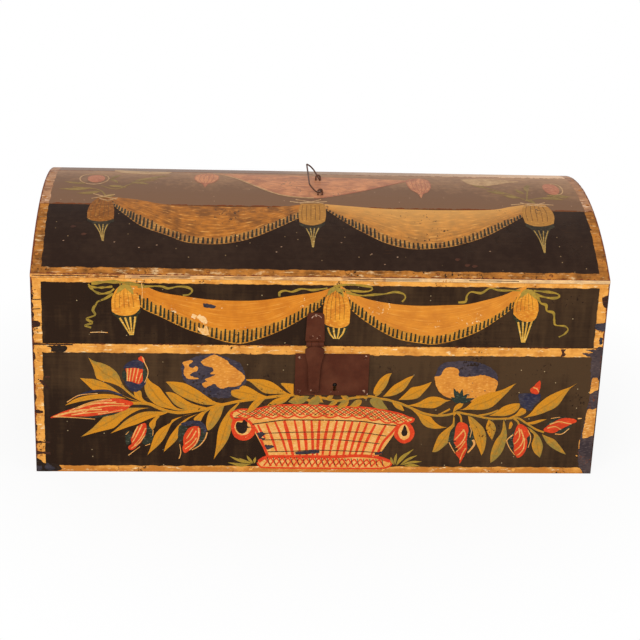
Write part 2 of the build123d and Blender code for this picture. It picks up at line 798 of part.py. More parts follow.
def bail_slope():
    """The line through both staples, which follow the crown of the top plank."""
    front = dome_height(bail_y - bail_half_span)
    back = dome_height(bail_y + bail_half_span)
    return atan2(back - front, 2 * bail_half_span)


def bail_axis_point(side):
    """Centre of a staple's eye: the front one at -1, the back one at +1."""
    y = bail_y + side * bail_half_span
    return bail_x, y, dome_height(y) + bail_axis_height


def bail_leg(side, leg):
    """Where one leg of a bail staple passes the axis height."""
    x, y, z = bail_axis_point(side)
    spread_half = bail_wire_radius + bail_staple_room + bail_staple_wire_radius
    return x + leg * spread_half, y, z


def bail_staple(side):
    """An eye staple of iron wire, driven through the plank and clinched under it."""
    wire = bail_staple_wire_radius
    x, y, z = bail_axis_point(side)
    half = bail_leg(side, 1)[0] - x
    under = dome_height(y) - plank_thickness - wire - bail_clinch_room
    toe = half + bail_clinch_length
    right = [(toe, under), (half, under), (half, z + half)]
    left = [(-across, height) for across, height in reversed(right)]
    arch = half - bail_arch_flat / 2
    route = FilletPolyline(*right, *left, radius=[wire, arch, arch, wire])
    path = Plane(origin=(x, y, 0), x_dir=(1, 0, 0), z_dir=(0, -1, 0)) * route
    start = Plane(origin=path @ 0, z_dir=path % 0)
    return sweep(start * Circle(wire), path=path)


def bail_staples():
    return [bail_staple(side) for side in (-1, 1)]


def bail():
    """The wire loop, leaning to the left as it stands in its staples."""
    run = bail_half_span + bail_end_run
    tail = bail_half_span - bail_end_run
    right = [(tail, -bail_tail), (tail, 0), (run, 0), (bail_half_width, bail_shoulder_reach),
             (bail_top_half_width, bail_reach)]
    left = [(-along, reach) for along, reach in reversed(right)]
    side_bends = [bail_tail_bend, bail_shoulder_bend, bail_corner_bend, bail_corner_bend]
    bends = side_bends + side_bends[::-1]
    centre = Vector(*bail_axis_point(-1)) + Vector(*bail_axis_point(1))
    slope = bail_slope()
    along = Vector(0, cos(slope), sin(slope))
    lean = radians(bail_lean)
    reach = Vector(-sin(lean), -cos(lean) * sin(slope), cos(lean) * cos(slope))
    loop_plane = Plane(origin=centre * 0.5, x_dir=along, z_dir=along.cross(reach))
    path = loop_plane * FilletPolyline(*right, *left, radius=bends)
    start = Plane(origin=path @ 0, z_dir=path % 0)
    return sweep(start * Circle(bail_wire_radius), path=path)


def nails(seats, length, sink=nail_sink):
    return [nail(seat, length, sink) for seat in seats]


def plate_nails(seats, sheet):
    return [plate_nail(seat, sheet) for seat in seats]


def write(name, shape):
    """Write a node: one solid, or a group of like solids."""
    group = Compound(shape) if isinstance(shape, list) else shape
    export_step(group, os.path.join("parts", name + ".step"))


def main():
    os.makedirs("parts", exist_ok=True)
    nodes = {
        "front_board": front_board(),
        "back_board": back_board(),
        "left_end_board": end_board(-1),
        "right_end_board": end_board(1),
        "bottom_board": bottom_board(),
        "corner_nails": nails(corner_nail_seats(), corner_nail_length),
        "bottom_nails": nails(bottom_nail_seats() + end_nail_seats(), corner_nail_length),
        "lock_plate": lock_plate(),
        "lock_plate_nails": plate_nails(lock_plate_nail_seats(), lock_plate_sheet),
        "bolt_guides": bolt_guides(),
        "lock_spring": lock_spring(),
        "key_bridge": key_bridge(),
        "key_post": key_post(),
        "lock_bolt": lock_bolt(),
        "hinge_lower_leaves": hinge_leaves(up=False),
        "hinge_lower_nails": plate_nails(hinge_nail_seats(up=False), hinge_sheet),
        "hinge_pins": hinge_pins(),
        "lid_front_rail": lid_front_rail(),
        "lid_back_rail": lid_back_rail(),
        "lid_left_end": lid_end(-1),
        "lid_right_end": lid_end(1),
        "dome_front_plank": dome_front_plank(),
        "dome_top_plank": dome_top_plank(),
        "dome_back_plank": dome_back_plank(),
        "dome_back_strip": dome_back_strip(),
        "rail_nails": nails(rail_nail_seats(), corner_nail_length),
        "dome_end_nails": nails(dome_nail_seats(), dome_nail_length),
        "dome_edge_nails": nails(edge_nail_seats(), edge_nail_length, edge_nail_sink),
        "hinge_upper_leaves": hinge_leaves(up=True),
        "hinge_upper_nails": plate_nails(hinge_nail_seats(up=True), hinge_sheet),
        "hasp_plate": hasp_plate(),
        "hasp_plate_nails": plate_nails(hasp_plate_nail_seats(), hasp_plate_sheet),
        "hasp_pin": hasp_pin(),
        "hasp": hasp(),
        "hasp_staple": hasp_staple(),
        "hasp_rivets": hasp_rivets(),
        "bail_staples": bail_staples(),
        "bail": bail(),
    }
    for name, shape in nodes.items():
        write(name, shape)
    slope = bail_slope()
    print("lid hinge at", 0, hinge_y, hinge_z)
    print("hasp hinge at", hasp_x, hasp_pin_y, hasp_pin_z)
    print("bail hinge at", bail_axis_point(-1), "slope", degrees(slope))
    print("bail range", bail_lean - bail_lying_angle, bail_lean + bail_lying_angle)
    print("bolt throw", bolt_throw)


main()
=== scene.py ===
"""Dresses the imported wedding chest: paint, ornament, iron, camera and studio.

All sizes are in millimetres unless a line says otherwise, and are turned to metres where a mesh is
placed. The ornament is laid on the boards as thin films of oil paint.
"""

import bisect
import functools
import math

import bmesh
import bpy
from mathutils import Matrix, Vector, noise


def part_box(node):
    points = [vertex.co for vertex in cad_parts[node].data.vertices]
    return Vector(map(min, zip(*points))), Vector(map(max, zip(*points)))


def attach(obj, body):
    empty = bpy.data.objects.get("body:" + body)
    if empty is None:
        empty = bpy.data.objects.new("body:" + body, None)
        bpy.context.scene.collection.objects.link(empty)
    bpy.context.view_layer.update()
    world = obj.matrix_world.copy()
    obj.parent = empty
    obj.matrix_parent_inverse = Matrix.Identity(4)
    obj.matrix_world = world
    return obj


bl_info = {
    "name": "Painted wedding chest",
    "version": (1, 0, 0),
    "blender": (4, 5, 0),
    "location": "3D View > Sidebar > Chest",
    "description": "Dresses the packed model of a dome-lidded chest in paint, iron and studio light",
    "category": "Object",
}

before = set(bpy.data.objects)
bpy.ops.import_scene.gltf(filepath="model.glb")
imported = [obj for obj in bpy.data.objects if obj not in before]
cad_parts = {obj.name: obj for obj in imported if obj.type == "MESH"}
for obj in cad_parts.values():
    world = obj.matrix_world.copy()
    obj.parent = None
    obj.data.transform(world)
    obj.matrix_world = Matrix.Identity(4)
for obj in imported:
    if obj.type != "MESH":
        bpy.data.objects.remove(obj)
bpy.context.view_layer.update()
# Gives the ragged edges of the paint the same waver in each run
noise.seed_set(1)

MM = 0.001
# A corner this far out leaves a block without an edge on that side
FAR = 1000.0
# The front of the boards, half their length and depth, and the arc of the dome about its axis
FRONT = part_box("front_board")[0].y / MM
HALF_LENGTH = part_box("front_board")[1].x / MM
HALF_DEPTH = -FRONT
DOME_RADIUS = 268.01
DOME_AXIS_HEIGHT = -6.71
# Thickness of the sheet iron on the front
LOCK_SHEET = 1.2
HASP_SHEET = 1.6
# How far a flat patch of paint stays inside the ends of the boards and above their underside
END_GAP = 0.2
FOOT_GAP = 0.3
# Oil paint: height of its brush lines, how dull its varnish is, and a brush line on a drape
PAINT_RELIEF = 0.06
PAINT_ROUGHNESS = 0.42
STREAK_LENGTH = 26.0
STREAK_WIDTH = 1.3
# Inputs of a Mix node for colours, and what makes it one
SHARE, UNDER, OVER = 0, 6, 7
COLOURS = {"output": 2, "data_type": "RGBA"}


def linear(code):
    """The linear colour, with alpha, of an sRGB hex code."""
    parts = [int(code[i:i + 2], 16) / 255 for i in (1, 3, 5)]
    return tuple(c / 12.92 if c <= 0.04045 else ((c + 0.055) / 1.055) ** 2.4 for c in parts) + (1.0,)


# Sizes and colours that a user may change

def paint_property(name, code, description):
    """A colour, from its sRGB hex code."""
    return bpy.props.FloatVectorProperty(name=name, description=description, default=linear(code),
                                         size=4, min=0.0, max=1.0, subtype="COLOR")


def length_property(name, millimetres, description):
    """A length, kept in metres."""
    return bpy.props.FloatProperty(name=name, description=description, default=millimetres * MM,
                                   min=0.0, unit="LENGTH")


class ChestPaints(bpy.types.PropertyGroup):
    """Colours of the paints, the wood and the iron."""
    ground: paint_property("Ground", "#2A1C13", "Dark ground of all painted boards")
    ground_worn: paint_property("Worn ground", "#4A3623", "Ground where its varnish has yellowed")
    border: paint_property("Border", "#E9A44C", "Yellow borders of the body and the rail")
    border_dirty: paint_property("Dirty border", "#BE7830", "Borders where dirt has gone in")
    border_pale: paint_property("Rubbed border", "#F4D6A0", "Borders where the chalk base shows")
    dome_border: paint_property("Dome border", "#B57331", "Browner borders of the dome")
    dome_border_dark: paint_property("Dark dome border", "#633C1C", "Dirt on the dome's borders")
    blue: paint_property("Blue", "#3F383E", "Dark blue of caps, flowers and chips")
    bare_edge: paint_property("Bare edge", "#713A20", "Wood and old red-brown paint at rubbed edges")
    leaf: paint_property("Leaf", "#CC8620", "Ochre side of the leaves")
    leaf_olive: paint_property("Olive leaf", "#8F7838", "Greener side of the leaves")
    red: paint_property("Red", "#D9431C", "Orange-red of buds and basket")
    green: paint_property("Green", "#35382A", "Dark green of sepals and fringes")
    straw: paint_property("Straw", "#E6AE62", "Pale yellow of the basket")
    swag: paint_property("Swag", "#D68424", "Orange drapes of the rail")
    swag_shade: paint_property("Swag streaks", "#BE6E1C", "Brown-orange streaks of the drapes")
    swag_light: paint_property("Swag lights", "#F0B45A", "Pale streaks of the drapes")
    ribbon: paint_property("Ribbon", "#A5822C", "Olive-yellow ribbons")
    dome_swag: paint_property("Dome swag", "#B66F29", "Ochre drapes of the dome")
    dome_swag_shade: paint_property("Dome streaks", "#7A4A20", "Brown streaks of those drapes")
    dome_swag_light: paint_property("Dome lights", "#E2A65A", "Pale streaks of those drapes")
    crown_pink: paint_property("Crown pink", "#D08C60", "Faded pink of the crown's drape and tassels")
    crown_ochre: paint_property("Crown ochre", "#C69E72", "Faded ochre on the crown")
    crown_olive: paint_property("Crown olive", "#937642", "Faded leaves on the crown")
    iron_paint: paint_property("Painted iron", "#4A2213", "Red-brown paint on the sheet iron")
    rust: paint_property("Rust", "#6B4029", "Rusted wire and nails")
    beech: paint_property("Beech", "#A87B4C", "Bare darkened wood inside")


class ChestSizes(bpy.types.PropertyGroup):
    """Sizes of the painted ornament."""
    film: length_property("Film", 0.06, "Thickness of a film of paint")
    layer: length_property("Layer", 0.04, "Step from one film to the next one over it")
    fringe_step: length_property("Fringe step", 4.4, "From one stroke of a fringe to the next")
    fringe_stroke: length_property("Fringe stroke", 2.5, "Width of a stroke of a fringe")
    stem: length_property("Stem", 3.2, "Width of the garland's stem")


class ChestStudio(bpy.types.PropertyGroup):
    """Camera and light."""
    place: bpy.props.FloatVectorProperty(
        name="Camera place", description="Where the camera stands", size=3, subtype="TRANSLATION",
        unit="LENGTH", default=(-0.0992, -1.5506, 0.6787))
    azimuth: bpy.props.FloatProperty(
        name="Azimuth", description="Turn of the view about the vertical", unit="ROTATION",
        default=math.radians(-3.992))
    elevation: bpy.props.FloatProperty(
        name="Elevation", description="How far the camera looks down", unit="ROTATION",
        default=math.radians(20.258))
    roll: bpy.props.FloatProperty(
        name="Roll", description="Tilt of the picture", unit="ROTATION", default=math.radians(2.0))
    lens: bpy.props.FloatProperty(
        name="Lens", description="Focal length on a 36 mm sensor", unit="CAMERA", default=86.04)
    key_power: bpy.props.FloatProperty(
        name="Key light", description="Power of the large lamp in front", unit="POWER", default=48.0)
    fill_power: bpy.props.FloatProperty(
        name="Fill light", description="Power of the lamp at the right", unit="POWER", default=20.0)
    ambient: bpy.props.FloatProperty(
        name="Ambient", description="Strength of the white room's light", default=0.42, min=0.0)


# Lines and films

def smooth(points, closed=False):
    """A function of t, 0 to 1 by length, for a smooth line through the points."""
    knots = [Vector(p) for p in points]
    if closed:
        knots.append(knots[0])
    reach = [0.0]
    for a, b in zip(knots, knots[1:]):
        reach.append(reach[-1] + (b - a).length)
    last = len(knots) - 1

    def at(t):
        length = min(max(t, 0.0), 1.0) * reach[-1]
        i = min(bisect.bisect_right(reach, length) - 1, last - 1)
        s = (length - reach[i]) / (reach[i + 1] - reach[i])
        a, b = knots[i], knots[i + 1]
        before = knots[i - 1] if i > 0 else (knots[-2] if closed else 2 * a - b)
        after = knots[i + 2] if i + 2 <= last else (knots[1] if closed else 2 * b - a)
        return 0.5 * (2 * a + (b - before) * s + (2 * before - 5 * a + 4 * b - after) * s ** 2
                      + (3 * a - before - 3 * b + after) * s ** 3)

    return at


def on_front(x, z, lift):
    """A place on the front of the body or the rail, lift above the board."""
    return Vector((x, FRONT - lift, z)) * MM


def on_sheet(thickness):
    """Makes the function that gives a place on the face of a sheet of iron on the front."""
    return lambda x, z, lift: on_front(x, z, thickness + lift)


def on_dome(x, y, lift):
    """A place on the dome over plan place x, y, lift above the plank."""
    share = (DOME_RADIUS + lift) / DOME_RADIUS
    rise = math.sqrt(DOME_RADIUS ** 2 - y ** 2)
    return Vector((x, y * share, DOME_AXIS_HEIGHT + rise * share)) * MM


class Painting:
    """One piece of ornament in one paint, laid as films. Place is the function that puts a point of
    the drawing on the front, the dome or a sheet of iron."""

    def __init__(self, name, place):
        self.name = name
        self.place = place
        self.mesh = bmesh.new()
        self.mesh.loops.layers.uv.verify()
        self.tint = self.mesh.verts.layers.float.new("tint")
        self.sizes = bpy.context.scene.chest_sizes
        self.films = 0

    def lift(self, layer):
        """How far a film stands off its board. Films of one layer differ by a hair, so that none
        lies in the face of its neighbour."""
        self.films += 1
        hair = 0.08 * (self.films % 11)
        return (layer + 1 + hair) * self.sizes.layer / MM

    def between(self, first, second, along, across, layer=1, tint=0.0, fade=0.0):
        """A film between two lines, divided along and across them. Fade is what the tint gains on
        the way to the second line."""
        grid = bmesh.ops.create_grid(self.mesh, x_segments=along, y_segments=across, size=0.5,
                                     calc_uvs=True)
        lift = self.lift(layer)
        for vert in grid["verts"]:
            share = vert.co.y + 0.5
            point = first(vert.co.x + 0.5).lerp(second(vert.co.x + 0.5), share)
            vert.co = self.place(point.x, point.y, lift)
            vert[self.tint] = tint + fade * share

    def ribbon(self, centre, half_width, along, across=1, layer=1, tint=0.0):
        """A film about a centre line, with its half width as a function of t."""
        def side(sign):
            def at(t):
                ahead = centre(t + 0.01) - centre(t - 0.01)
                return centre(t) + Vector((-ahead.y, ahead.x)).normalized() * (sign * half_width(t))
            return at
        self.between(side(1), side(-1), along, across, layer, tint)

    def leaf(self, tip, base, width, bend=0.0, tint=0.0, layer=1, fullness=0.75):
        """A pointed leaf, widest nearer its base, bent to one side by a share of its length."""
        base, tip = Vector(base), Vector(tip)
        run = tip - base
        middle = (base + tip) / 2 + Vector((-run.y, run.x)) * bend
        self.ribbon(smooth([base, middle, tip]),
                    lambda t: width / 2 * math.sin(math.pi * t ** fullness), 12, 4, layer, tint)

    def stroke(self, points, width, layer=1, along=8, taper=0.0, tint=0.0):
        """A brush stroke; taper narrows its end by that share of its width."""
        self.ribbon(smooth(points), lambda t: width / 2 * (1 - taper * t), along, 1, layer, tint)

    def patch(self, outline, layer=1, steps=40, ragged=0.0):
        """A flat patch inside a closed line on the front. Its edge wavers by about ragged mm, in
        waves of about 2 mm."""
        line = smooth(outline, closed=True)
        ring = bmesh.ops.create_circle(self.mesh, cap_ends=True, segments=steps, radius=1.0)
        lift = self.lift(layer)
        edge = HALF_LENGTH - END_GAP
        for i, vert in enumerate(ring["verts"]):
            point = line(i / steps)
            if ragged:
                point = point + noise.noise_vector(Vector((point.x, point.y, 9.0)) * 0.45).xy * ragged
            vert.co = self.place(min(max(point.x, -edge), edge), max(point.y, FOOT_GAP), lift)

    def finish(self, body, material, slot="painted_beech"):
        """Gives the films their thickness and lets them ride on a body."""
        mesh = self.mesh
        bmesh.ops.remove_doubles(mesh, verts=mesh.verts, dist=0.002 * MM)
        mesh.normal_update()
        inward = [face for face in mesh.faces if 2 * face.normal.z - face.normal.y < 0]
        bmesh.ops.reverse_faces(mesh, faces=inward)
        bmesh.ops.solidify(mesh, geom=mesh.faces[:], thickness=self.sizes.film)
        bmesh.ops.triangulate(mesh, faces=[face for face in mesh.faces if len(face.verts) > 4])
        data = bpy.data.meshes.new(self.name)
        mesh.to_mesh(data)
        mesh.free()
        data.materials.append(material)
        piece = bpy.data.objects.new(self.name, data)
        bpy.context.scene.collection.objects.link(piece)
        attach(piece, body)


# Materials

def add_node(tree, kind, inputs, output=0, **settings):
    """Adds a node with its settings. An input is a value, a hex code or another node's output."""
    node = tree.nodes.new("ShaderNode" + kind)
    for name, value in settings.items():
        setattr(node, name, value)
    for socket, value in inputs.items():
        if isinstance(value, bpy.types.NodeSocket):
            tree.links.new(value, node.inputs[socket])
        elif isinstance(value, str):
            node.inputs[socket].default_value = linear(value)
        else:
            node.inputs[socket].default_value = value
    return node.outputs[output] if node.outputs else None


def node_adder(owner):
    """Empties the node tree of a material or world, and makes the function that adds to it."""
    owner.use_nodes = True
    owner.node_tree.nodes.clear()
    return functools.partial(add_node, owner.node_tree)


def new_material(name):
    """A new material and the function that adds its nodes."""
    material = bpy.data.materials.new(name)
    return material, node_adder(material)


def millimetres(add, stretch=(1.0, 1.0, 1.0)):
    """The place on a piece in mm, shortened along an axis to draw a pattern out along it."""
    place = add("TexCoord", {}, "Object")
    return add("Mapping", {"Vector": place, "Scale": [s / MM for s in stretch]})


def beyond(add, mm, low, high):
    """How far in mm a place lies outside a block; below nought inside it."""
    centre = [(a + b) / 2 for a, b in zip(low, high)]
    half = [(b - a) / 2 for a, b in zip(low, high)]
    moved = add("VectorMath", {0: mm, 1: centre}, operation="SUBTRACT")
    size = add("VectorMath", {0: moved}, operation="ABSOLUTE")
    over = add("VectorMath", {0: size, 1: half}, operation="SUBTRACT")
    parts = add("SeparateXYZ", {0: over}).node.outputs
    across = add("Math", {0: parts[0], 1: parts[1]}, operation="MAXIMUM")
    return add("Math", {0: across, 1: parts[2]}, operation="MAXIMUM")


def surface(material, add, colour, roughness, height, depth, specular, metallic=0.0):
    """Ends a material with its shader. Depth is the relief's height in mm."""
    bump = add("Bump", {"Height": height, "Strength": 1.0, "Distance": depth * MM})
    shader = add("BsdfPrincipled", {
        "Base Color": colour, "Roughness": roughness, "Metallic": metallic,
        "Specular IOR Level": specular, "Normal": bump})
    add("OutputMaterial", {"Surface": shader})
    return material


def rubbed(add, mm, worn):
    """Where paint is rubbed or flaked off: one pattern in mm for all paints, so that the loss runs
    on from one to the next. Worn is from 0, sound, to 1."""
    handled = add("TexNoise", {"Vector": mm, "Scale": 0.03, "Detail": 2.0})
    flakes = add("TexNoise", {"Vector": mm, "Scale": 0.3, "Detail": 7.0, "Roughness": 0.68})
    both = add("Math", {0: handled, 1: 0.55, 2: flakes}, operation="MULTIPLY_ADD")
    edge = 1.04 - 0.22 * worn
    return add("MapRange", {"Value": both, "From Min": edge, "From Max": edge + 0.03})


def oil_paint(name, main, shade, light, worn=0.4, under=None, streaks=None,
              roughness=PAINT_ROUGHNESS, specular=0.12, contrast=1.0):
    """Oil paint brushed thin and varnished: the eye sees clouds of thicker and thinner colour, fine
    brush lines, and small flakes where the dark ground shows. Streaks give the length and depth in
    mm of a drape whose lines follow its own UV map. A film's tint lets the light colour in."""
    paints = bpy.context.scene.chest_paints
    material, add = new_material(name)
    mm = millimetres(add)
    cloud = add("TexNoise", {"Vector": mm, "Scale": 0.09, "Detail": 4.0})
    if streaks:
        own = add("TexCoord", {}, "UV")
        count = (streaks[0] / STREAK_LENGTH, streaks[1] / STREAK_WIDTH, 1.0)
        along = add("Mapping", {"Vector": own, "Scale": count})
        brush = add("TexNoise", {"Vector": along, "Scale": 1.0, "Detail": 4.0, "Roughness": 0.6})
    else:
        brush = add("TexNoise", {"Vector": millimetres(add, (0.4, 1.0, 1.0)), "Scale": 0.7, "Detail": 4.0})
    mixed = add("Math", {0: cloud, 1: brush}, operation="ADD")
    spread = 0.22 / contrast
    dark = add("MapRange", {"Value": mixed, "From Min": 1.0 + spread, "From Max": 1.0 - spread})
    pale = add("MapRange", {"Value": brush, "From Min": 0.58, "From Max": 0.58 + spread})
    colour = add("Mix", {SHARE: dark, UNDER: main, OVER: shade}, **COLOURS)
    colour = add("Mix", {SHARE: pale, UNDER: colour, OVER: light}, **COLOURS)
    tint = add("Attribute", {}, "Fac", attribute_name="tint")
    colour = add("Mix", {SHARE: tint, UNDER: colour, OVER: light}, **COLOURS)
    loss = rubbed(add, mm, worn)
    colour = add("Mix", {SHARE: loss, UNDER: colour, OVER: under or paints.ground}, **COLOURS)
    height = add("Math", {0: brush, 1: loss}, operation="SUBTRACT")
    return surface(material, add, colour, roughness, height, PAINT_RELIEF, specular)


def leaf_paint(name, ochre, olive):
    """Leaves in one loaded brush: ochre on one side of the rib and olive on the other, with a thin
    darker rib. Each leaf's tint shifts it from ochre to olive."""
    paints = bpy.context.scene.chest_paints
    material, add = new_material(name)
    mm = millimetres(add)
    own = add("SeparateXYZ", {0: add("TexCoord", {}, "UV")}, 1)
    tint = add("Attribute", {}, "Fac", attribute_name="tint")
    cloud = add("TexNoise", {"Vector": mm, "Scale": 0.22, "Detail": 5.0, "Roughness": 0.6})
    leaning = add("Math", {0: own, 1: 0.5, 2: tint}, operation="MULTIPLY_ADD")
    olive_share = add("Math", {0: cloud, 1: 1.6, 2: leaning}, operation="MULTIPLY_ADD")
    olive_share = add("MapRange", {"Value": olive_share, "From Min": 1.08, "From Max": 1.85})
    colour = add("Mix", {SHARE: olive_share, UNDER: ochre, OVER: olive}, **COLOURS)
    from_rib = add("Math", {0: own, 1: 0.5}, operation="SUBTRACT")
    from_rib = add("Math", {0: from_rib}, operation="ABSOLUTE")
    rib = add("MapRange", {"Value": from_rib, "From Min": 0.06, "From Max": 0.02, "To Max": 0.5})
    colour = add("Mix", {SHARE: rib, UNDER: colour, OVER: "#8E6420"}, **COLOURS)
    fine = add("TexNoise", {"Vector": mm, "Scale": 0.9, "Detail": 3.0})
    dark = add("MapRange", {"Value": fine, "From Min": 0.5, "From Max": 0.75, "To Max": 0.35})
    colour = add("Mix", {SHARE: dark, UNDER: colour, OVER: paints.ground_worn}, **COLOURS)
    loss = rubbed(add, mm, 0.35)
    colour = add("Mix", {SHARE: loss, UNDER: colour, OVER: paints.ground}, **COLOURS)
    height = add("Math", {0: fine, 1: loss}, operation="SUBTRACT")
    return surface(material, add, colour, PAINT_ROUGHNESS, height, PAINT_RELIEF, 0.06)


def varnish_and_sheen_field(add, mm, flat, brush, tones, lighter, clouds, pale, dirty):
    """The colour of a board's dark field: clouds of yellowed varnish, pale specks and scratches.
    Tones are its two colours, lighter is how much paler it grows per metre along each axis, and clouds
    the share of its clouds that is kept. On the dome's top and back planks the pale tone and that
    growth are partly painted light: a haze and a sheen of light on their varnish."""
    cloud = add("TexNoise", {"Vector": mm, "Scale": 0.014, "Detail": 5.0, "Roughness": 0.6})
    wipe = add("TexNoise", {"Vector": millimetres(add, (1.0, 1.0, 0.12)), "Scale": 0.16, "Detail": 3.0})
    # Share of the paler tone: yellowed varnish, and on the dome's top and back planks also painted haze and
    # sheen
    yellow = add("Math", {0: wipe, 1: 0.5, 2: cloud}, operation="MULTIPLY_ADD")
    yellow = add("Math", {0: brush, 1: 0.25, 2: yellow}, operation="MULTIPLY_ADD")
    even = 0.9 * (1 - clouds)
    yellow = add("Math", {0: yellow, 1: clouds, 2: even}, operation="MULTIPLY_ADD")
    drift = add("VectorMath", {0: mm, 1: [part * MM for part in lighter]}, "Value", operation="DOT_PRODUCT")
    yellow = add("Math", {0: yellow, 1: drift}, operation="ADD")
    yellow = add("MapRange", {"Value": yellow, "From Min": 0.79, "From Max": 1.19})
    colour = add("Mix", {SHARE: yellow, UNDER: tones[0], OVER: tones[1]}, **COLOURS)

    cells = add("TexVoronoi", {"Vector": flat, "Scale": 0.085}, voronoi_dimensions="2D").node
    near = add("MapRange", {"Value": cells.outputs["Distance"], "From Min": 0.055, "From Max": 0.03})
    some = add("SeparateColor", {0: cells.outputs["Color"]})
    some = add("MapRange", {"Value": some, "From Min": 0.86, "From Max": 0.92, "To Max": 0.45})
    speck = add("Math", {0: near, 1: some}, operation="MULTIPLY")
    colour = add("Mix", {SHARE: speck, UNDER: colour, OVER: pale}, **COLOURS)
    scratch = add("TexNoise", {"Vector": millimetres(add, (0.05, 1.0, 0.5)), "Scale": 0.75, "Detail": 2.0})
    scratch = add("MapRange", {"Value": scratch, "From Min": 0.735, "From Max": 0.76, "To Max": 0.35})
    return add("Mix", {SHARE: scratch, UNDER: colour, OVER: dirty}, **COLOURS)


def worn_border(add, mm, level, brush, border, dirty, pale, worn):
    """The colour of a border: stained, darker towards the foot, and rubbed to its chalk base."""
    stain = add("TexNoise", {"Vector": mm, "Scale": 0.07, "Detail": 6.0, "Roughness": 0.65})
    stain = add("Math", {0: brush, 1: 0.4, 2: stain}, operation="MULTIPLY_ADD")
    # Darker still in the lowest 9 mm of the body, most at its foot
    foot = add("MapRange", {"Value": level, "From Min": 9.0, "From Max": 1.0, "To Max": 0.3})
    stain = add("Math", {0: stain, 1: foot}, operation="ADD")
    stain = add("MapRange", {"Value": stain, "From Min": 0.6, "From Max": 0.9})
    strip = add("Mix", {SHARE: stain, UNDER: border, OVER: dirty}, **COLOURS)
    chalk = add("TexNoise", {"Vector": millimetres(add, (0.3, 1.0, 1.0)), "Scale": 0.3,
                             "Detail": 6.0, "Roughness": 0.65})
    chalk = add("MapRange", {"Value": chalk, "From Min": 0.6 - 0.06 * worn, "From Max": 0.66})
    return add("Mix", {SHARE: chalk, UNDER: strip, OVER: pale}, **COLOURS)


def nibbled_rim(add, mm, node, dome):
    """Where the edges of a board are rubbed bare, a millimetre or two wide. Its own thickness has
    no such edge, and neither has a curved board's height."""
    thickest = 30.0
    low, high = (list(corner / MM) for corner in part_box(node))
    for axis, width in enumerate((2.0, 1.0, 0.5)):
        endless = high[axis] - low[axis] < thickest or (dome and axis == 2)
        low[axis] = -FAR if endless else low[axis] + width
        high[axis] = FAR if endless else high[axis] - width
    rim = beyond(add, mm, low, high)
    nibble = add("TexNoise", {"Vector": mm, "Scale": 0.2, "Detail": 5.0, "Roughness": 0.6})
    nibble = add("MapRange", {"Value": nibble, "From Min": 0.3, "From Max": 0.7,
                              "To Min": -1.1, "To Max": 1.1})
    rim = add("Math", {0: nibble, 1: rim}, operation="ADD")
    return add("MapRange", {"Value": rim, "From Min": 0.2, "From Max": 0.6})


def painted_board(name, node, field_low, field_high, bare_low, bare_high, border, dirty, pale,
                  arch=None, dome=False, tones=None, lighter=(0.0, 0.0, 0.0), clouds=1.0,
                  specular=0.05, roughness=0.45, worn=0.6):
    """Thin beech board in dark oil paint with a yellow border: the eye sees a brown-black field with
    clouds of yellowed varnish, brush lines, pale specks and scratches; a border that is dirty,
    chipped and rubbed to its chalk base; bare red-brown edges; and bare wood on the inner side.
    The field is a block in mm and the bare wood another. Arch is the radius that ends the field of
    an arched end, or the paint of a dome plank."""
    paints = bpy.context.scene.chest_paints
    material, add = new_material(name)
    mm = millimetres(add)
    parts = add("SeparateXYZ", {0: mm}).node.outputs
    flat = add("CombineXYZ", {0: parts[0], 1: parts[1] if dome else parts[2]})
    brush = add("TexNoise", {"Vector": millimetres(add, (0.06, 1.0, 1.0)), "Scale": 0.5, "Detail": 4.0})
    field = varnish_and_sheen_field(add, mm, flat, brush, tones or (paints.ground, paints.ground_worn),
                           lighter, clouds, pale, dirty)

    outside = beyond(add, mm, field_low, field_high)
    inside = beyond(add, mm, bare_low, bare_high)
    if arch:
        turned = add("VectorMath", {0: mm, 1: (0.0, 1.0, 1.0)}, operation="MULTIPLY")
        turned = add("VectorMath", {0: turned, 1: (0.0, 0.0, -DOME_AXIS_HEIGHT)}, operation="ADD")
        radius = add("VectorMath", {0: turned}, "Value", operation="LENGTH")
        past = add("Math", {0: radius, 1: arch}, operation="SUBTRACT")
        if dome:
            inside = add("Math", {0: inside, 1: past}, operation="MAXIMUM")
        else:
            outside = add("Math", {0: outside, 1: past}, operation="MAXIMUM")
    waver = add("TexNoise", {"Vector": mm, "Scale": 0.1, "Detail": 4.0})
    waver = add("MapRange", {"Value": waver, "From Min": 0.3, "From Max": 0.7, "To Min": -1.0,
                             "To Max": 1.0})
    bordered = add("Math", {0: waver, 1: 0.7, 2: outside}, operation="MULTIPLY_ADD")
    bordered = add("MapRange", {"Value": bordered, "From Min": -0.2, "From Max": 0.2})
    strip = worn_border(add, mm, parts[2], brush, border, dirty, pale, worn)
    colour = add("Mix", {SHARE: bordered, UNDER: field, OVER: strip}, **COLOURS)
    loss = rubbed(add, mm, worn)
    colour = add("Mix", {SHARE: loss, UNDER: colour, OVER: paints.ground}, **COLOURS)
    rim = nibbled_rim(add, mm, node, dome)
    colour = add("Mix", {SHARE: rim, UNDER: colour, OVER: paints.bare_edge}, **COLOURS)

    wood = add("Mix", {SHARE: brush, UNDER: paints.beech, OVER: paints.dome_border_dark}, **COLOURS)
    bare = add("MapRange", {"Value": inside, "From Min": 0.1, "From Max": -0.1})
    colour = add("Mix", {SHARE: bare, UNDER: colour, OVER: wood}, **COLOURS)
    gloss = add("MapRange", {"Value": bare, "To Min": roughness, "To Max": 0.7})
    height = add("Math", {0: brush, 1: loss}, operation="SUBTRACT")
    return surface(material, add, colour, gloss, height, 0.1, specular)


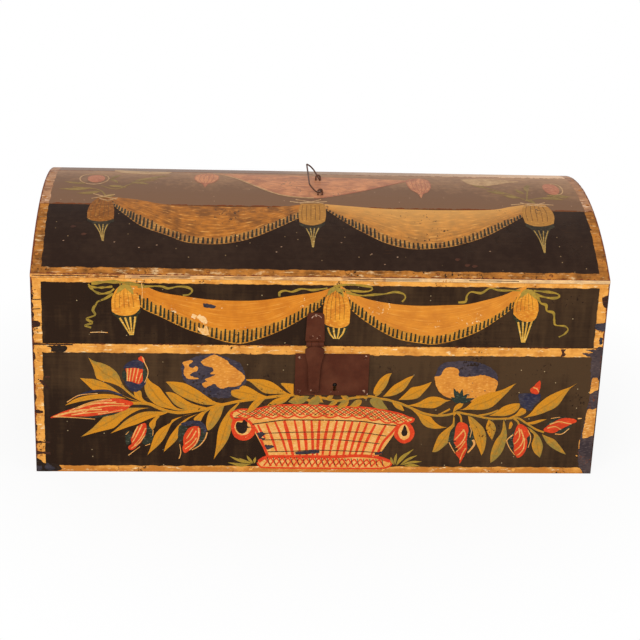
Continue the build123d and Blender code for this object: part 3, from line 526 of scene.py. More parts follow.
def bare_beech(name):
    """Planed beech gone brown: fine grain along the board, short dark flecks and a dull face."""
    paints = bpy.context.scene.chest_paints
    material, add = new_material(name)
    grain = add("TexNoise", {"Vector": millimetres(add, (0.05, 1.0, 1.0)), "Scale": 0.5, "Detail": 5.0})
    flecks = add("TexNoise", {"Vector": millimetres(add, (0.2, 1.0, 1.0)), "Scale": 1.1, "Detail": 2.0})
    flecks = add("MapRange", {"Value": flecks, "From Min": 0.62, "From Max": 0.7, "To Max": 0.5})
    shade = add("MapRange", {"Value": grain, "From Min": 0.35, "From Max": 0.7})
    colour = add("Mix", {SHARE: shade, UNDER: paints.beech, OVER: paints.dome_border_dark}, **COLOURS)
    colour = add("Mix", {SHARE: flecks, UNDER: colour, OVER: paints.ground_worn}, **COLOURS)
    return surface(material, add, colour, 0.7, grain, 0.15, 0.3)


def painted_iron(name):
    """Hammered sheet iron under thin red-brown paint: low hammer dents, dark stains, and small
    rubbed places where brown metal shows."""
    paints = bpy.context.scene.chest_paints
    material, add = new_material(name)
    mm = millimetres(add)
    dents = add("TexNoise", {"Vector": mm, "Scale": 0.06, "Detail": 3.0})
    stains = add("TexNoise", {"Vector": mm, "Scale": 0.2, "Detail": 6.0, "Roughness": 0.65})
    shade = add("MapRange", {"Value": stains, "From Min": 0.5, "From Max": 0.8, "To Max": 0.5})
    colour = add("Mix", {SHARE: shade, UNDER: paints.iron_paint, OVER: "#3A1C11"}, **COLOURS)
    warm = add("MapRange", {"Value": dents, "From Min": 0.4, "From Max": 0.8, "To Max": 0.45})
    colour = add("Mix", {SHARE: warm, UNDER: colour, OVER: "#70402A"}, **COLOURS)
    grit = add("TexNoise", {"Vector": mm, "Scale": 1.2, "Detail": 4.0})
    height = add("Math", {0: dents, 1: 3.0, 2: grit}, operation="MULTIPLY_ADD")
    return surface(material, add, colour, 0.55, height, 0.12, 0.1)


def rusted_iron(name, dark, rust):
    """Wrought iron wire and nails, brown with old rust: pitted, with darker metal on the heights."""
    material, add = new_material(name)
    mm = millimetres(add)
    pits = add("TexNoise", {"Vector": mm, "Scale": 0.9, "Detail": 5.0})
    shade = add("MapRange", {"Value": pits, "From Min": 0.42, "From Max": 0.62})
    colour = add("Mix", {SHARE: shade, UNDER: dark, OVER: rust}, **COLOURS)
    return surface(material, add, colour, 0.55, pits, 0.1, 0.3, metallic=0.15)


def painted_nail(name, front, elsewhere, through, share=0.5):
    """Iron nail heads painted over with what they hold: one paint on the front and one elsewhere,
    with rust or rubbed iron coming through in small patches. Pale patches on the heads in the sheet
    iron are partly painted highlights. Share sets how much comes through, and less shows where it is
    higher."""
    material, add = new_material(name)
    mm = millimetres(add)
    parts = add("SeparateXYZ", {0: mm}).node.outputs
    behind = add("MapRange", {"Value": parts[1], "From Min": FRONT + 1.0, "From Max": FRONT + 2.0})
    colour = add("Mix", {SHARE: behind, UNDER: front, OVER: elsewhere}, **COLOURS)
    pits = add("TexNoise", {"Vector": mm, "Scale": 0.35, "Detail": 4.0})
    worn = add("MapRange", {"Value": pits, "From Min": share, "From Max": share + 0.08, "To Max": 0.85})
    colour = add("Mix", {SHARE: worn, UNDER: colour, OVER: through}, **COLOURS)
    return surface(material, add, colour, 0.5, pits, 0.1, 0.1)


def filed_iron(name):
    """Filed and oiled iron of the lock: grey with fine file lines and brown oil in the hollows."""
    material, add = new_material(name)
    lines = add("TexNoise", {"Vector": millimetres(add, (0.1, 1.0, 1.0)), "Scale": 2.0, "Detail": 2.0})
    colour = add("Mix", {SHARE: lines, UNDER: "#8D8780", OVER: "#5A4D40"}, **COLOURS)
    return surface(material, add, colour, 0.38, lines, 0.04, 0.5, metallic=1.0)


# The garland. A leaf: its tint to olive, one edge from root to tip, the other edge between them.

LEFT_LEAVES = (
    (0.35, ((-174, 76), (-180, 79), (-188, 85), (-195, 91.5), (-203, 95.5), (-212, 98), (-218.7, 101),
            (-221.6, 112), (-226.4, 123)),
     ((-179.5, 80.5), (-190.6, 90.5), (-194.5, 97), (-198, 106), (-205, 113), (-213, 117), (-221, 119))),
    (0.05, ((-172, 75), (-183.3, 78.2), (-190.9, 81.6), (-197.4, 85.6), (-204, 87.2), (-219.6, 87.6),
            (-225.6, 91.4), (-229.4, 95.6), (-235, 101.3)),
     ((-177.5, 76.8), (-187.8, 80.6), (-194.4, 84), (-206.8, 94), (-220.3, 99.9), (-229, 100.6))),
    (0.1, ((-167, 70), (-175.7, 68.5), (-183.3, 64.9), (-190, 60.2), (-195.4, 55.3), (-202, 48.5),
           (-209.5, 46), (-222.8, 42.3), (-235, 38.3)),
     ((-174.4, 70), (-183.2, 70), (-192, 69.3), (-200.8, 66.8), (-209.6, 62.4), (-218.3, 53.8),
      (-223.8, 47.6), (-229.8, 42.6))),
    (0.0, ((-148, 66.5), (-152.8, 63.3), (-165.9, 59), (-180, 52.3), (-188.8, 49.2), (-206.2, 42)),
     ((-156, 66), (-166, 66.2), (-174.6, 65.3), (-182.2, 62), (-188.8, 58), (-194.2, 53.4), (-199.6, 47.8))),
    (0.1, ((-157, 64), (-164, 58), (-168, 52), (-165, 45.5)), ((-158, 60), (-161, 56), (-162, 50))),
    (0.0, ((-124, 64.5), (-144, 58), (-147.2, 53.8), (-152.6, 50.6), (-158, 46.8), (-162.5, 40.6),
           (-165, 33.6), (-167.4, 25), (-170, 18.5)),
     ((-134, 61.5), (-141.8, 57), (-146, 53), (-148.3, 48), (-151.5, 40.6), (-154.7, 34.7), (-160.2, 28),
      (-165.6, 23))),
    (0.05, ((-120, 64), (-130, 59.5), (-137.8, 53), (-141.7, 48), (-146, 42), (-149.2, 36), (-152, 28.8),
            (-153.6, 22)),
     ((-128, 59), (-136, 52), (-137, 49.5), (-138, 44.6), (-140, 37), (-143.9, 31.8), (-149.3, 26.4))),
    (0.1, ((-104, 71), (-111, 67.8), (-118.2, 64.5), (-124, 58.5), (-122, 55.5)),
     ((-108, 68.5), (-111.7, 65.7), (-115, 61), (-117.2, 56))),
    (0.3, ((-94.4, 74.5), (-105.3, 70.5), (-109, 65.7), (-111.2, 58.5), (-111.7, 51.2), (-110, 45.8)),
     ((-93.9, 73), (-95.5, 68), (-97.2, 62), (-100.9, 54.8), (-106.3, 47.6))),
    (0.2, ((-78, 78), (-87.6, 69.3), (-92, 63.3), (-96.3, 56), (-99, 48.8), (-100.6, 40.3), (-101.2, 31.8),
           (-102.2, 23.4), (-103.8, 14.2)),
     ((-80, 74), (-84.3, 68), (-85.6, 62), (-85.4, 56), (-87, 46.4), (-89.7, 36.7), (-95.2, 27),
      (-100.6, 19.8))),
    (0.15, ((-94, 75), (-103.3, 77), (-111, 82.4), (-118.6, 88.3), (-126.2, 93), (-132.6, 96.5),
            (-138.3, 97.6), (-144.8, 98.2), (-151.4, 98)),
     ((-102, 73.8), (-113, 73.8), (-121.6, 76), (-130.9, 79.8), (-137.3, 83.3), (-143.7, 88), (-147, 92.8))),
    (0.2, ((-110, 70.5), (-119.6, 73), (-126, 75.2), (-132, 78.6), (-139.5, 84), (-147, 87), (-151.8, 86.8)),
     ((-121, 67.6), (-130.8, 68), (-138.4, 71), (-143.8, 75), (-148, 81))),
    (0.1, ((-126, 67.5), (-139.4, 69.6), (-144.8, 73.8), (-149, 79.7), (-153.4, 85.5), (-157.7, 92),
           (-165.2, 97.2), (-169.6, 102.3)),
     ((-139.4, 67.2), (-149, 69.5), (-156.6, 71.2), (-163, 74.8), (-168.4, 80.7), (-171.7, 87.7),
      (-172.2, 94.8))),
    (0.1, ((-168, 74.5), (-176, 77.5), (-181.4, 81.8), (-183, 88)),
     ((-169.5, 76), (-174.4, 80.5), (-176, 88))),
    (0.05, ((-48, 82), (-52.3, 83.3), (-58.8, 86), (-65.3, 90.3), (-71.8, 93.8), (-78.3, 94.5), (-97, 93)),
     ((-56.4, 81), (-67.3, 80.6), (-76, 80), (-83.6, 82), (-89, 86))),
    (0.05, ((-26, 85.5), (-30.7, 86.3), (-36.2, 89.8), (-41.6, 94.6), (-48, 98.8), (-56.8, 101.4),
            (-67.6, 101.4), (-76.3, 101)),
     ((-37.3, 86), (-46, 86), (-53.5, 86.5), (-59, 89.8), (-65.4, 95.7), (-69.8, 99.3))),
    (0.05, ((-26, 85), (-25.8, 90), (-26, 97)), ((-31, 88.5), (-35, 93), (-38.4, 97.5))),
)
RIGHT_LEAVES = (
    (0.2, ((54, 86), (53.4, 88), (53.8, 92), (56.2, 97.3), (59.8, 103.2), (65.6, 108), (70.8, 109)),
     ((57.5, 87.2), (61.3, 89.3), (65.1, 94), (67.4, 99.5), (68.7, 104.8))),
    (0.15, ((63, 84), (65, 86), (68.8, 91), (73.6, 96.3), (79.3, 100), (86.2, 104.3), (93, 107)),
     ((67.1, 84), (73.1, 85.1), (79.1, 87.8), (83.9, 91.5), (87.6, 97.4), (90.3, 102.8))),
    (0.1, ((78.8, 80.6), (83.6, 85.7), (87.4, 90), (91.3, 94), (98.2, 95.3), (104, 97.3), (111, 100.2)),
     ((87.7, 80.6), (95.5, 81.7), (99.5, 83.8), (103.3, 88.7), (108, 94.7))),
    (0.05, ((87.3, 74.3), (93.4, 75.8), (99.4, 78), (104.4, 81.3), (109.5, 83.8), (115.5, 84.3),
            (121.4, 83), (126.3, 80.8), (131.2, 80.3)),
     ((94, 73.7), (100.1, 72.6), (106.1, 72), (114, 71.7), (120.2, 74.2), (126.2, 78.6))),
    (0.1, ((89, 73), (96.2, 70.8), (100.3, 66.5), (105.5, 64.3), (111.7, 62.6), (114.8, 58.8),
           (119.2, 54.5), (124.3, 51.7), (129.5, 51)),
     ((94, 68.7), (99.3, 63.2), (102.5, 57.2), (106.8, 52.3), (113, 49.8), (120.2, 49.4))),
    (0.1, ((72, 79.5), (78, 78), (82, 75), (85, 69)), ((74, 75), (78, 71), (84, 68.5))),
    (0.4, ((135, 64), (134.8, 59.8), (134.3, 54.3), (129.5, 50), (125.6, 46.6), (121.7, 42.3),
           (119.4, 36.8), (117.7, 31.4), (115.9, 23.6)),
     ((136.2, 62), (136.6, 54.3), (136.5, 47.6), (134.7, 41), (131.4, 34.5), (126.6, 29), (120.7, 24))),
    (0.3, ((149.5, 63.5), (151.6, 55.4), (154.2, 49), (156.7, 42.5), (159.3, 35), (163, 27.4), (166.2, 20)),
     ((153.3, 62.4), (159.8, 57), (166.2, 50.3), (169.3, 42.5), (169.8, 36), (168.7, 26.2))),
    (0.6, ((186, 60), (185.5, 56), (185.4, 50.5), (183.9, 44), (180.2, 38.5), (177.2, 30.7), (175.7, 24),
           (175.3, 17.5), (176, 11.8)),
     ((187.8, 55), (189.6, 48.3), (190.7, 40.6), (189.7, 33.9), (187.8, 26.2), (185, 20.8), (180.5, 15.3))),
    (0.3, ((170.6, 60), (168.6, 51.6), (171.2, 44), (175.8, 37.4)),
     ((176, 56), (178.7, 49.5), (177.4, 42.9))),
    (0.1, ((193.5, 58), (192, 55), (191.8, 49.3)), ((195.5, 55), (194, 50.4))),
    (0.5, ((209, 52), (213.6, 47.3), (218, 43), (217.2, 36.3), (216.6, 31.8), (219.7, 24), (226.1, 18)),
     ((212.2, 51.2), (217.7, 47.3), (223.2, 41.8), (226.4, 36.2), (228.1, 30.7), (227.4, 23))),
    (0.6, ((226, 44), (232.5, 41.2), (238.8, 38.5), (243.2, 34), (247.8, 28.4), (252.5, 21.6)),
     ((229, 38.4), (233.1, 32.8), (238.6, 28.4), (246.3, 24))),
    (0.05, ((171, 64), (175.6, 66.4), (179.4, 69), (182.3, 72.4), (188.1, 75.7), (194.9, 77.5),
            (200.8, 77.5)),
     ((177.8, 63.8), (186.8, 63.8), (193.6, 66), (198.3, 69.2), (201, 73.6))),
    (0.05, ((190, 61.5), (197.8, 66), (202.4, 72.4), (207.5, 71)), ((196, 62.6), (203, 64.3), (207.7, 67.6))),
    (0.15, ((205.6, 61.6), (210.5, 64.8), (214, 69.1), (217.6, 74.6), (223, 80.5), (228.8, 85.4),
            (236.5, 89.8), (243.2, 93), (250, 95.6), (257, 99.8)),
     ((214.4, 63.7), (222.5, 66), (229.2, 69.1), (234.9, 71.8), (240.5, 76.7), (244, 83.2), (247.5, 89.8),
      (251, 95))),
    (0.1, ((208.8, 56.5), (214.9, 57.8), (222.8, 60), (229.6, 60.5)),
     ((212.2, 55), (217.1, 55), (222.9, 57.3))),
)
OVER_FLOWER = (
    (0.05, ((140, 70), (145, 71.5), (150, 76), (156.3, 83.2), (163, 86.5), (169.8, 89.2), (175.7, 90.3),
            (182.6, 92.5), (189.4, 96.3), (195.6, 99.4)),
     ((151, 70.5), (157, 70.3), (166, 70.8), (172.9, 73.5), (178.5, 79), (183, 84.3), (187.7, 89.8),
      (193.4, 97.2))),
    (0.1, ((134, 66.8), (135.2, 73), (139, 77), (144.4, 77.8)), ((137.4, 69.7), (142.3, 73))),
    (0.1, ((-52, 82.5), (-62, 80), (-68, 74), (-72, 66)), ((-56, 78), (-62, 71), (-67, 67))),
    (0.2, ((-28, 84.5), (-38, 82.5), (-46, 79), (-52.5, 72.5)), ((-31, 80), (-36, 76), (-44, 74))),
    (0.7, ((-10, 84), (-18, 84), (-26, 82), (-31, 77.5)), ((-13, 79), (-17, 76), (-24, 75))),
    (0.9, ((-1, 84), (-6, 83), (-10, 79), (-11, 75)), ((1, 80), (-1, 75), (-6, 74.5))),
    (0.9, ((62, 81), (54, 83), (50, 79), (54, 73), (60, 70.5), (69, 70)), ((64, 77), (67, 73))),
)
# Leaves over the basket: tip, base, width
SPRIGS = (
    (4, 77, -7, 82, 6), (17, 71, 29, 80, 7), (20, 88, 30, 80, 5), (30, 73, 42, 80, 7), (41, 89, 48, 82, 5),
    (-8, 91, 2, 83, 5), (14, 85, 8, 80, 5), (37, 88, 41, 82, 5), (9, 74, 18, 80, 5), (62, 89, 55, 84, 3),
)
LEFT_STEM = ((-191, 76), (-182.4, 75), (-173.8, 75), (-166.3, 73.8), (-159.9, 70.5), (-150, 66.8),
             (-139.3, 65), (-129, 66), (-119, 67.8), (-110.7, 69.5), (-99.8, 73), (-91, 75), (-83.4, 77),
             (-72, 79), (-56, 81.3), (-40, 83.7), (-25.8, 85))
RIGHT_STEM = ((-26, 85), (-9, 79), (2, 82), (17, 79), (30, 81.5), (49, 84), (60, 81.5), (67, 80.7),
              (73.9, 78.6), (80, 77), (88, 73.5), (96.3, 69.8), (104.5, 66.2), (116.6, 63.7),
              (126.7, 64.2), (133.7, 65.8), (138.7, 67.5), (146, 66), (157, 64), (166, 61.8), (176, 60.5),
              (190, 61), (200, 61.5), (209, 56), (219, 49.5), (228, 46))
TWIGS = (((138, 67), (142, 63), (143.5, 56)), ((196, 61), (200, 58), (202, 54)),
         ((160, 64), (170, 66), (180, 70)),
         ((137, 67), (135, 64)), ((120, 64.5), (126, 68), (131, 71)))


class CHEST_OT_garland(bpy.types.Operator):
    """Paints the garland's leaves and stems on the front board"""
    bl_idname = "chest.garland"
    bl_label = "Garland"

    def execute(self, context):
        paints = context.scene.chest_paints
        green = leaf_paint("ochre_and_olive_leaf_paint", paints.leaf, paints.leaf_olive)
        for name, rows, layer in (("leaves_left", LEFT_LEAVES, 1), ("leaves_right", RIGHT_LEAVES, 1),
                                  ("leaves_over_flower", OVER_FLOWER, 4)):
            leaves = Painting(name, on_front)
            for tint, edge, other in rows:
                other = smooth((edge[0],) + other + (edge[-1],))
                leaves.between(smooth(edge), other, 16, 4, layer, tint)
            leaves.finish("chest", green)
        sprigs = Painting("sprigs_over_basket", on_front)
        for tip_x, tip_z, base_x, base_z, width in SPRIGS:
            sprigs.leaf((tip_x, tip_z), (base_x, base_z), width, 0.06, 0.45, layer=3)
        sprigs.finish("chest", green)
        stems = Painting("garland_stems", on_front)
        width = context.scene.chest_sizes.stem / MM
        stems.stroke(LEFT_STEM, width, layer=2, along=60, taper=0.1, tint=0.1)
        stems.stroke(RIGHT_STEM, width * 0.85, layer=2, along=90, taper=0.25, tint=0.4)
        for twig in TWIGS:
            stems.stroke(twig, width * 0.6, layer=2, along=8, tint=0.3)
        stems.finish("chest", green)
        return {"FINISHED"}


# Buds, all as outlines or lines on the front. Stripes have their width first.

PETALS = (
    ((-172, 53.5), (-170.5, 48), (-172, 40.5), (-175.7, 33.4), (-180, 28.6), (-184.4, 24.4), (-188, 25),
     (-188.7, 28), (-185.4, 31), (-186, 36), (-183.3, 43), (-179, 50.3)),
    ((-118, 49), (-117.5, 41.5), (-120, 33), (-124.6, 27), (-130, 22.5), (-133, 21.3), (-135, 25.6),
     (-134, 31), (-134.5, 36), (-133, 41.4), (-129.7, 47.4), (-125.3, 50), (-121, 50.5)),
    ((142.7, 57), (149.2, 54), (151, 48.8), (150.3, 42.3), (150.2, 34.6), (151.1, 28), (149.5, 22),
     (146, 13.8), (144.2, 11), (143.9, 16), (139.4, 22.4), (141.6, 26.8), (137.6, 33.4), (136.9, 38.8),
     (137.5, 44.3), (137.8, 49.8), (139.6, 55.2)),
    ((201.6, 55), (207, 53.6), (211.3, 49.4), (213.7, 44), (211, 39.6), (211.9, 34.2), (211, 26.5),
     (207.4, 19.8), (203.5, 17.6), (201.2, 19.7), (198.8, 25), (198.5, 31.7), (197, 37), (197.6, 42.6),
     (198.7, 49.2)),
    ((227, 48.3), (230.3, 52.7), (236.1, 57), (242.9, 61), (250.8, 62.1), (259, 60.4), (259.7, 57.7),
     (254.3, 55), (248.5, 51.7), (242.8, 48.4), (238, 45.7), (233, 45.7)),
    ((-265, 59), (-248, 67), (-231, 72), (-213, 78), (-199, 80), (-190, 78), (-183, 75), (-187, 71),
     (-192, 67), (-206, 64), (-223, 61), (-243, 60), (-258, 59)),
    ((-190, 112), (-182, 112.4), (-174.5, 112), (-174, 106), (-174, 99), (-177, 95), (-180, 96), (-186, 97.5),
     (-189, 99), (-189.5, 106)),
    ((-178, 122), (-175, 125), (-172, 121), (-173, 118), (-176, 119)),
    ((210, 93), (213.3, 96.3), (218.9, 102.4), (220.2, 98.5), (219, 88.8), (215, 87.9), (211.2, 89.8)),
)
HUSKS = (
    ((-190.5, 45), (-186, 45), (-183, 41), (-185, 34), (-190, 30), (-191.5, 37)),
    ((-171, 51), (-166, 48), (-163.5, 42), (-165, 35), (-169, 30), (-175, 32), (-172, 40)),
    ((-138, 51), (-131, 50), (-131, 44), (-133, 38), (-138, 33), (-139.5, 41)),
    ((-119, 50), (-113, 47), (-111, 43), (-113, 37), (-118, 30), (-125, 26), (-120, 34), (-118, 42)),
    ((138, 53), (133, 47), (131.5, 38), (132, 33), (139, 29), (138, 38), (138, 46)),
    ((149, 55), (154, 50), (156.5, 42), (156.5, 36), (153, 27), (149.5, 30), (149.5, 40), (150, 48)),
    ((199, 49), (193.5, 42), (192, 36), (194, 30), (199, 23), (199, 32), (198, 37)),
    ((209.5, 52), (214.5, 46), (215, 38), (213, 28), (208, 21), (210, 30), (211, 38), (212.5, 44)),
    ((229, 51), (232, 58), (240, 62.8), (250, 63.6), (247, 61), (236, 55)),
    ((238, 45), (245, 45.5), (253, 50.5), (256, 55), (250, 54), (243, 49)),
    ((-193.5, 108), (-189.5, 110), (-188.5, 101), (-186, 97), (-190, 96.5), (-193.5, 102)),
    ((-175, 113.5), (-171.5, 112), (-169.8, 104), (-171, 97), (-175.5, 96), (-173.5, 104)),
    ((-236, 60.5), (-222, 64), (-205, 67.5), (-192, 69), (-200, 63.5), (-213, 60), (-226, 59)),
)
CAPS = (
    ((-137, 53), (-131, 55.5), (-124, 56.8), (-118, 56.2), (-114.5, 53.8), (-111.8, 50), (-111.2, 45),
     (-113.5, 43), (-115, 47), (-119, 50.5), (-126, 51), (-133, 51)),
    ((-192.5, 112), (-188, 118), (-181, 121), (-176, 120), (-173, 117), (-174, 111.5), (-182, 112.5)),
    ((-191.5, 98), (-186, 98), (-178, 95.5), (-173, 99), (-170.5, 97), (-174, 92), (-178, 88), (-181, 87),
     (-185, 88), (-189, 92)),
    ((199, 87), (204, 88.5), (210, 88.6), (216, 87.6), (220.5, 88), (221.4, 83.3), (219.9, 80),
     (216.3, 76.7), (213.8, 71.2), (211, 69.6), (205.8, 72.3), (201.3, 76.7)),
)
STRIPES = (
    (1.5, ((-179, 50), (-182, 44), (-184.5, 37))), (1.5, ((-175, 52), (-180, 41), (-184.5, 32.5))),
    (1.3, ((-171.5, 48), (-176, 38), (-183, 29))), (1.2, ((-172.5, 40), (-178, 32), (-186, 26))),
    (1.4, ((-119.3, 49), (-118.8, 40.5), (-122, 31), (-128.3, 24.5))), (1.3, ((-124.6, 48), (-131, 37))),
    (1.3, ((-121.5, 45.5), (-126, 37), (-132.5, 31))), (1.3, ((-121, 38), (-126, 31), (-132.5, 25.5))),
    (1.5, ((145.8, 49), (148.3, 42.3), (144.5, 33.5), (138.7, 28))),
    (1.4, ((146, 48), (141.9, 42.3), (137.6, 37))),
    (1.3, ((148.5, 36), (144.5, 29), (140, 24))), (1.3, ((149.5, 28), (146.5, 22), (144.5, 15))),
    (1.5, ((204, 49.4), (207.5, 39.6), (205, 31), (199.5, 25.3))),
    (1.4, ((202, 50.5), (203.5, 41.8), (200.7, 35.2), (198, 33))), (1.2, ((201, 47), (198.7, 43))),
    (1.4, ((208.6, 40), (208.6, 28.7), (204.6, 22), (202, 20.5))),
    (1.5, ((233, 55), (242, 58), (250, 56.5), (255, 55.5))), (1.3, ((231, 51), (239, 52.5), (244.5, 49.5))),
    (1.8, ((-188.5, 112), (-189, 98.5))), (1.5, ((-185, 112), (-187, 98.3))),
    (1.3, ((-181.5, 112), (-184.3, 98))),
    (1.3, ((-178, 112), (-181, 97))), (1.2, ((-174.8, 107), (-178.5, 96))),
    (2.2, ((-257, 61.5), (-235, 67), (-214, 68))), (1.6, ((-240, 68.5), (-222, 74), (-200, 76))),
    (1.3, ((-244, 62), (-226, 64.5), (-208, 66))), (1.4, ((-228, 73), (-214, 75), (-192, 74))),
    (1.3, ((-226, 69), (-207, 72), (-187, 72))), (1.0, ((-233, 64), (-223, 69), (-212, 71))),
    (1.2, ((213, 95), (217, 93.5), (219, 90))),
    (0.9, ((-188.6, 18.4), (-183.2, 23), (-177, 28))), (0.8, ((-191, 41), (-188, 44.5))),
    (0.9, ((-164, 46), (-164.5, 40))), (0.9, ((-167, 31), (-172, 29))),
    (1.3, ((-110.6, 44), (-112.8, 36.7), (-118.2, 29.4), (-125.8, 24.6))),
    (1.0, ((-138.4, 15), (-136.7, 21.8), (-137.8, 31))), (1.0, ((132.2, 34.5), (135.7, 28), (139.2, 22.5))),
    (2.4, ((156.4, 37.5), (158, 32.4), (154.2, 26), (151.7, 23))), (0.8, ((152, 53), (154, 47), (153, 40))),
    (1.2, ((196.8, 43.5), (192, 39), (190.8, 36), (194.4, 28.4), (200, 20.8))),
    (1.0, ((211.5, 48), (214.5, 42), (214.7, 36), (213, 29))),
    (1.1, ((239.3, 44.5), (246.4, 44.5), (253.3, 50.5))), (0.8, ((233.7, 61.5), (243, 63))),
    (0.9, ((-262, 60), (-246, 64), (-232, 65.5))), (1.0, ((-236, 70.5), (-220, 76), (-204, 78))),
    (0.9, ((-218, 63), (-206, 65), (-194, 68))), (1.0, ((-246, 66), (-234, 72), (-222, 76.5), (-206, 79.5))),
    (1.4, ((261, 61.5), (265, 61.8))),
    (1.0, ((-174, 124), (-172, 118), (-169, 111), (-169, 105), (-172, 97))),
    (1.0, ((-262, 60), (-240, 59), (-221, 57.5))), (1.0, ((-248, 75.5), (-236, 83), (-218, 85))),
)
CAP_STROKES = (((-240, 81), (-225, 87), (-208, 88), (-194, 83)),)


class CHEST_OT_buds(bpy.types.Operator):
    """Paints the striped red buds with their husks and caps"""
    bl_idname = "chest.buds"
    bl_label = "Buds"

    def execute(self, context):
        paints = context.scene.chest_paints
        red = oil_paint("orange_red_oil_paint", paints.red, "#BE3A1A", "#E86A34")
        green = oil_paint("dark_green_oil_paint", paints.green, "#22241C", "#75786A", worn=0.5)
        blue = oil_paint("dark_blue_oil_paint", paints.blue, "#23233A", "#4C5068", worn=0.6)
        straw = oil_paint("straw_oil_paint", "#E4A860", "#D08A40", "#F0CC94")
        leaf = leaf_paint("ochre_bud_leaf_paint", paints.leaf, paints.leaf_olive)
        for name, material, layer, outlines, lines in (
                ("bud_husks", green, 2, HUSKS, ()), ("bud_petals", red, 3, PETALS, ()),
                ("bud_caps", blue, 4, CAPS, CAP_STROKES)):
            painting = Painting(name, on_front)
            for outline in outlines:
                painting.patch(outline, layer=layer, steps=60, ragged=0.35)
            for line in lines:
                painting.stroke(line, 2.0, layer=layer, along=16)
            painting.finish("chest", material)
        stripes = Painting("bud_stripes", on_front)
        for width, points in STRIPES:
            stripes.stroke(points, width, layer=5, taper=0.35, along=12)
        stripes.finish("chest", straw)
        ochres = Painting("bud_ochre_leaves", on_front)
        ochres.between(smooth(((-250, 72), (-238, 80), (-220, 84), (-204, 84), (-190, 80))),
                       smooth(((-250, 72), (-236, 76), (-220, 79), (-205, 80), (-190, 80))), 14, 3, layer=2)
        ochres.finish("chest", leaf)
        return {"FINISHED"}


# The two worn flowers: what is left of their paint, on dark blue

LEFT_FLOWER_BLUE = (
    (-136, 108), (-135, 103), (-131, 97), (-125, 93), (-119, 89), (-114, 85), (-108, 82), (-100, 81),
    (-92, 81), (-87, 84), (-87, 89), (-79, 92), (-73, 99), (-74, 107), (-76, 113), (-80, 119), (-86, 122),
    (-92, 124), (-104, 128), (-113, 127), (-122, 125), (-128, 122), (-135, 119), (-136, 113),
)
LEFT_FLOWER_PATCHES = (
    ((-135, 118), (-132, 120), (-127, 121), (-125, 120), (-128, 117), (-129, 114), (-125, 113), (-122, 115),
     (-120, 113), (-121, 110), (-125, 108), (-128, 105), (-123, 103), (-119, 102), (-121, 101), (-128, 101),
     (-132, 103), (-134, 108), (-133, 113)),
    ((-117, 120), (-113, 123), (-109, 125), (-104, 127), (-99, 125), (-95, 123), (-91, 120), (-89, 117),
     (-86, 115), (-81, 111), (-76, 107), (-74, 103), (-76, 99), (-79, 95), (-84, 93), (-91, 93), (-96, 91),
     (-100, 93), (-104, 96), (-109, 94), (-113, 92), (-116, 96), (-112, 99), (-113, 101), (-109, 103),
     (-103, 106), (-108, 107), (-105, 110), (-106, 113), (-112, 115), (-116, 117)),
)
RIGHT_FLOWER_BLUE = (
    (115, 110), (117, 116), (123, 121), (133, 122), (143, 123), (153, 122), (163, 119), (171, 114),
    (176, 108), (177, 101), (174, 98), (149, 97), (129, 102), (115, 105),
)
RIGHT_FLOWER_PATCHES = (
    ((114, 106), (119, 107), (121, 111), (124, 115), (131, 116), (136, 114), (138, 111), (137, 108),
     (140, 106), (149, 106), (155, 107), (161, 108), (169, 106), (175, 103), (177, 99), (176, 94), (174, 89),
     (169, 86), (163, 81), (157, 78), (150, 80), (145, 83), (140, 85), (135, 82), (129, 83), (123, 86),
     (119, 90), (116, 95), (114, 101)),
)
CALYX_BASE = (140, 78)
CALYX_TIPS = ((133, 94), (137, 91), (142, 93), (148, 88), (155, 83), (131, 84))


class CHEST_OT_flowers(bpy.types.Operator):
    """Paints the two worn flowers over the garland"""
    bl_idname = "chest.flowers"
    bl_label = "Flowers"

    def execute(self, context):
        paints = context.scene.chest_paints
        blue = oil_paint("worn_dark_blue_oil_paint", "#473D42", "#302B36", "#59545F", worn=0.75)
        base = oil_paint("chalk_and_glue_ground", "#DC9238", "#C47A2C",
                         "#ECB264", worn=0.52, under=paints.blue)
        green = oil_paint("calyx_green_oil_paint", paints.green, "#1F2C28", "#577060")
        shadow = Painting("flower_blue", on_front)
        shadow.patch(LEFT_FLOWER_BLUE, layer=2, steps=90, ragged=1.6)
        shadow.patch(RIGHT_FLOWER_BLUE, layer=2, steps=90, ragged=0.8)
        shadow.finish("chest", blue)
        patches = Painting("flower_patches", on_front)
        for outline in LEFT_FLOWER_PATCHES + RIGHT_FLOWER_PATCHES:
            patches.patch(outline, layer=3, steps=140, ragged=0.7)
        patches.finish("chest", base)
        calyx = Painting("flower_calyx", on_front)
        for tip in CALYX_TIPS:
            calyx.leaf(tip, CALYX_BASE, 5, layer=4)
        calyx.finish("chest", green)
        return {"FINISHED"}


# The basket. A rib has its width first, and so has a line of BASKET_LINES. Each ring of a handle
# has three outlines: its red, the straw inside and the dark hole.

RIM_TOP = ((-86, 66), (-78, 69), (-68, 69), (-60, 70), (-47, 73.5), (-34, 74), (-7, 74.5), (14, 73),
           (30, 72.5), (44.5, 72), (60, 70), (70, 68), (79, 66), (85, 64), (90, 61.5), (94, 61))
RIM_LOW = ((-86, 60.5), (-68, 60), (-56, 60), (-35, 61), (-13, 61.5), (14, 61.5), (40, 61), (50, 59.5),
           (60, 58), (71, 55.5), (80, 54.5), (94, 57))
WALL_TOP = ((-72, 61), (-45, 61.5), (-19, 62), (6, 62), (40, 61), (58, 58), (84, 56))
BAND = ((-66, 53), (-45, 56.4), (-34, 57.8), (-13, 58), (14, 58), (40, 57), (50, 56), (60, 54.3), (78, 52.6))
WALL_LOW = ((-50, 18), (-10, 18), (25, 18), (61, 18))
FOOT = ((-60, 11), (-57, 15.5), (-50, 18.5), (-33, 19), (15, 19), (38, 20), (54, 19.5), (64.5, 17.5),
        (72, 14.5), (75, 10), (68, 5.6), (45, 5), (5, 5), (-50, 5.5), (-58, 7.5))
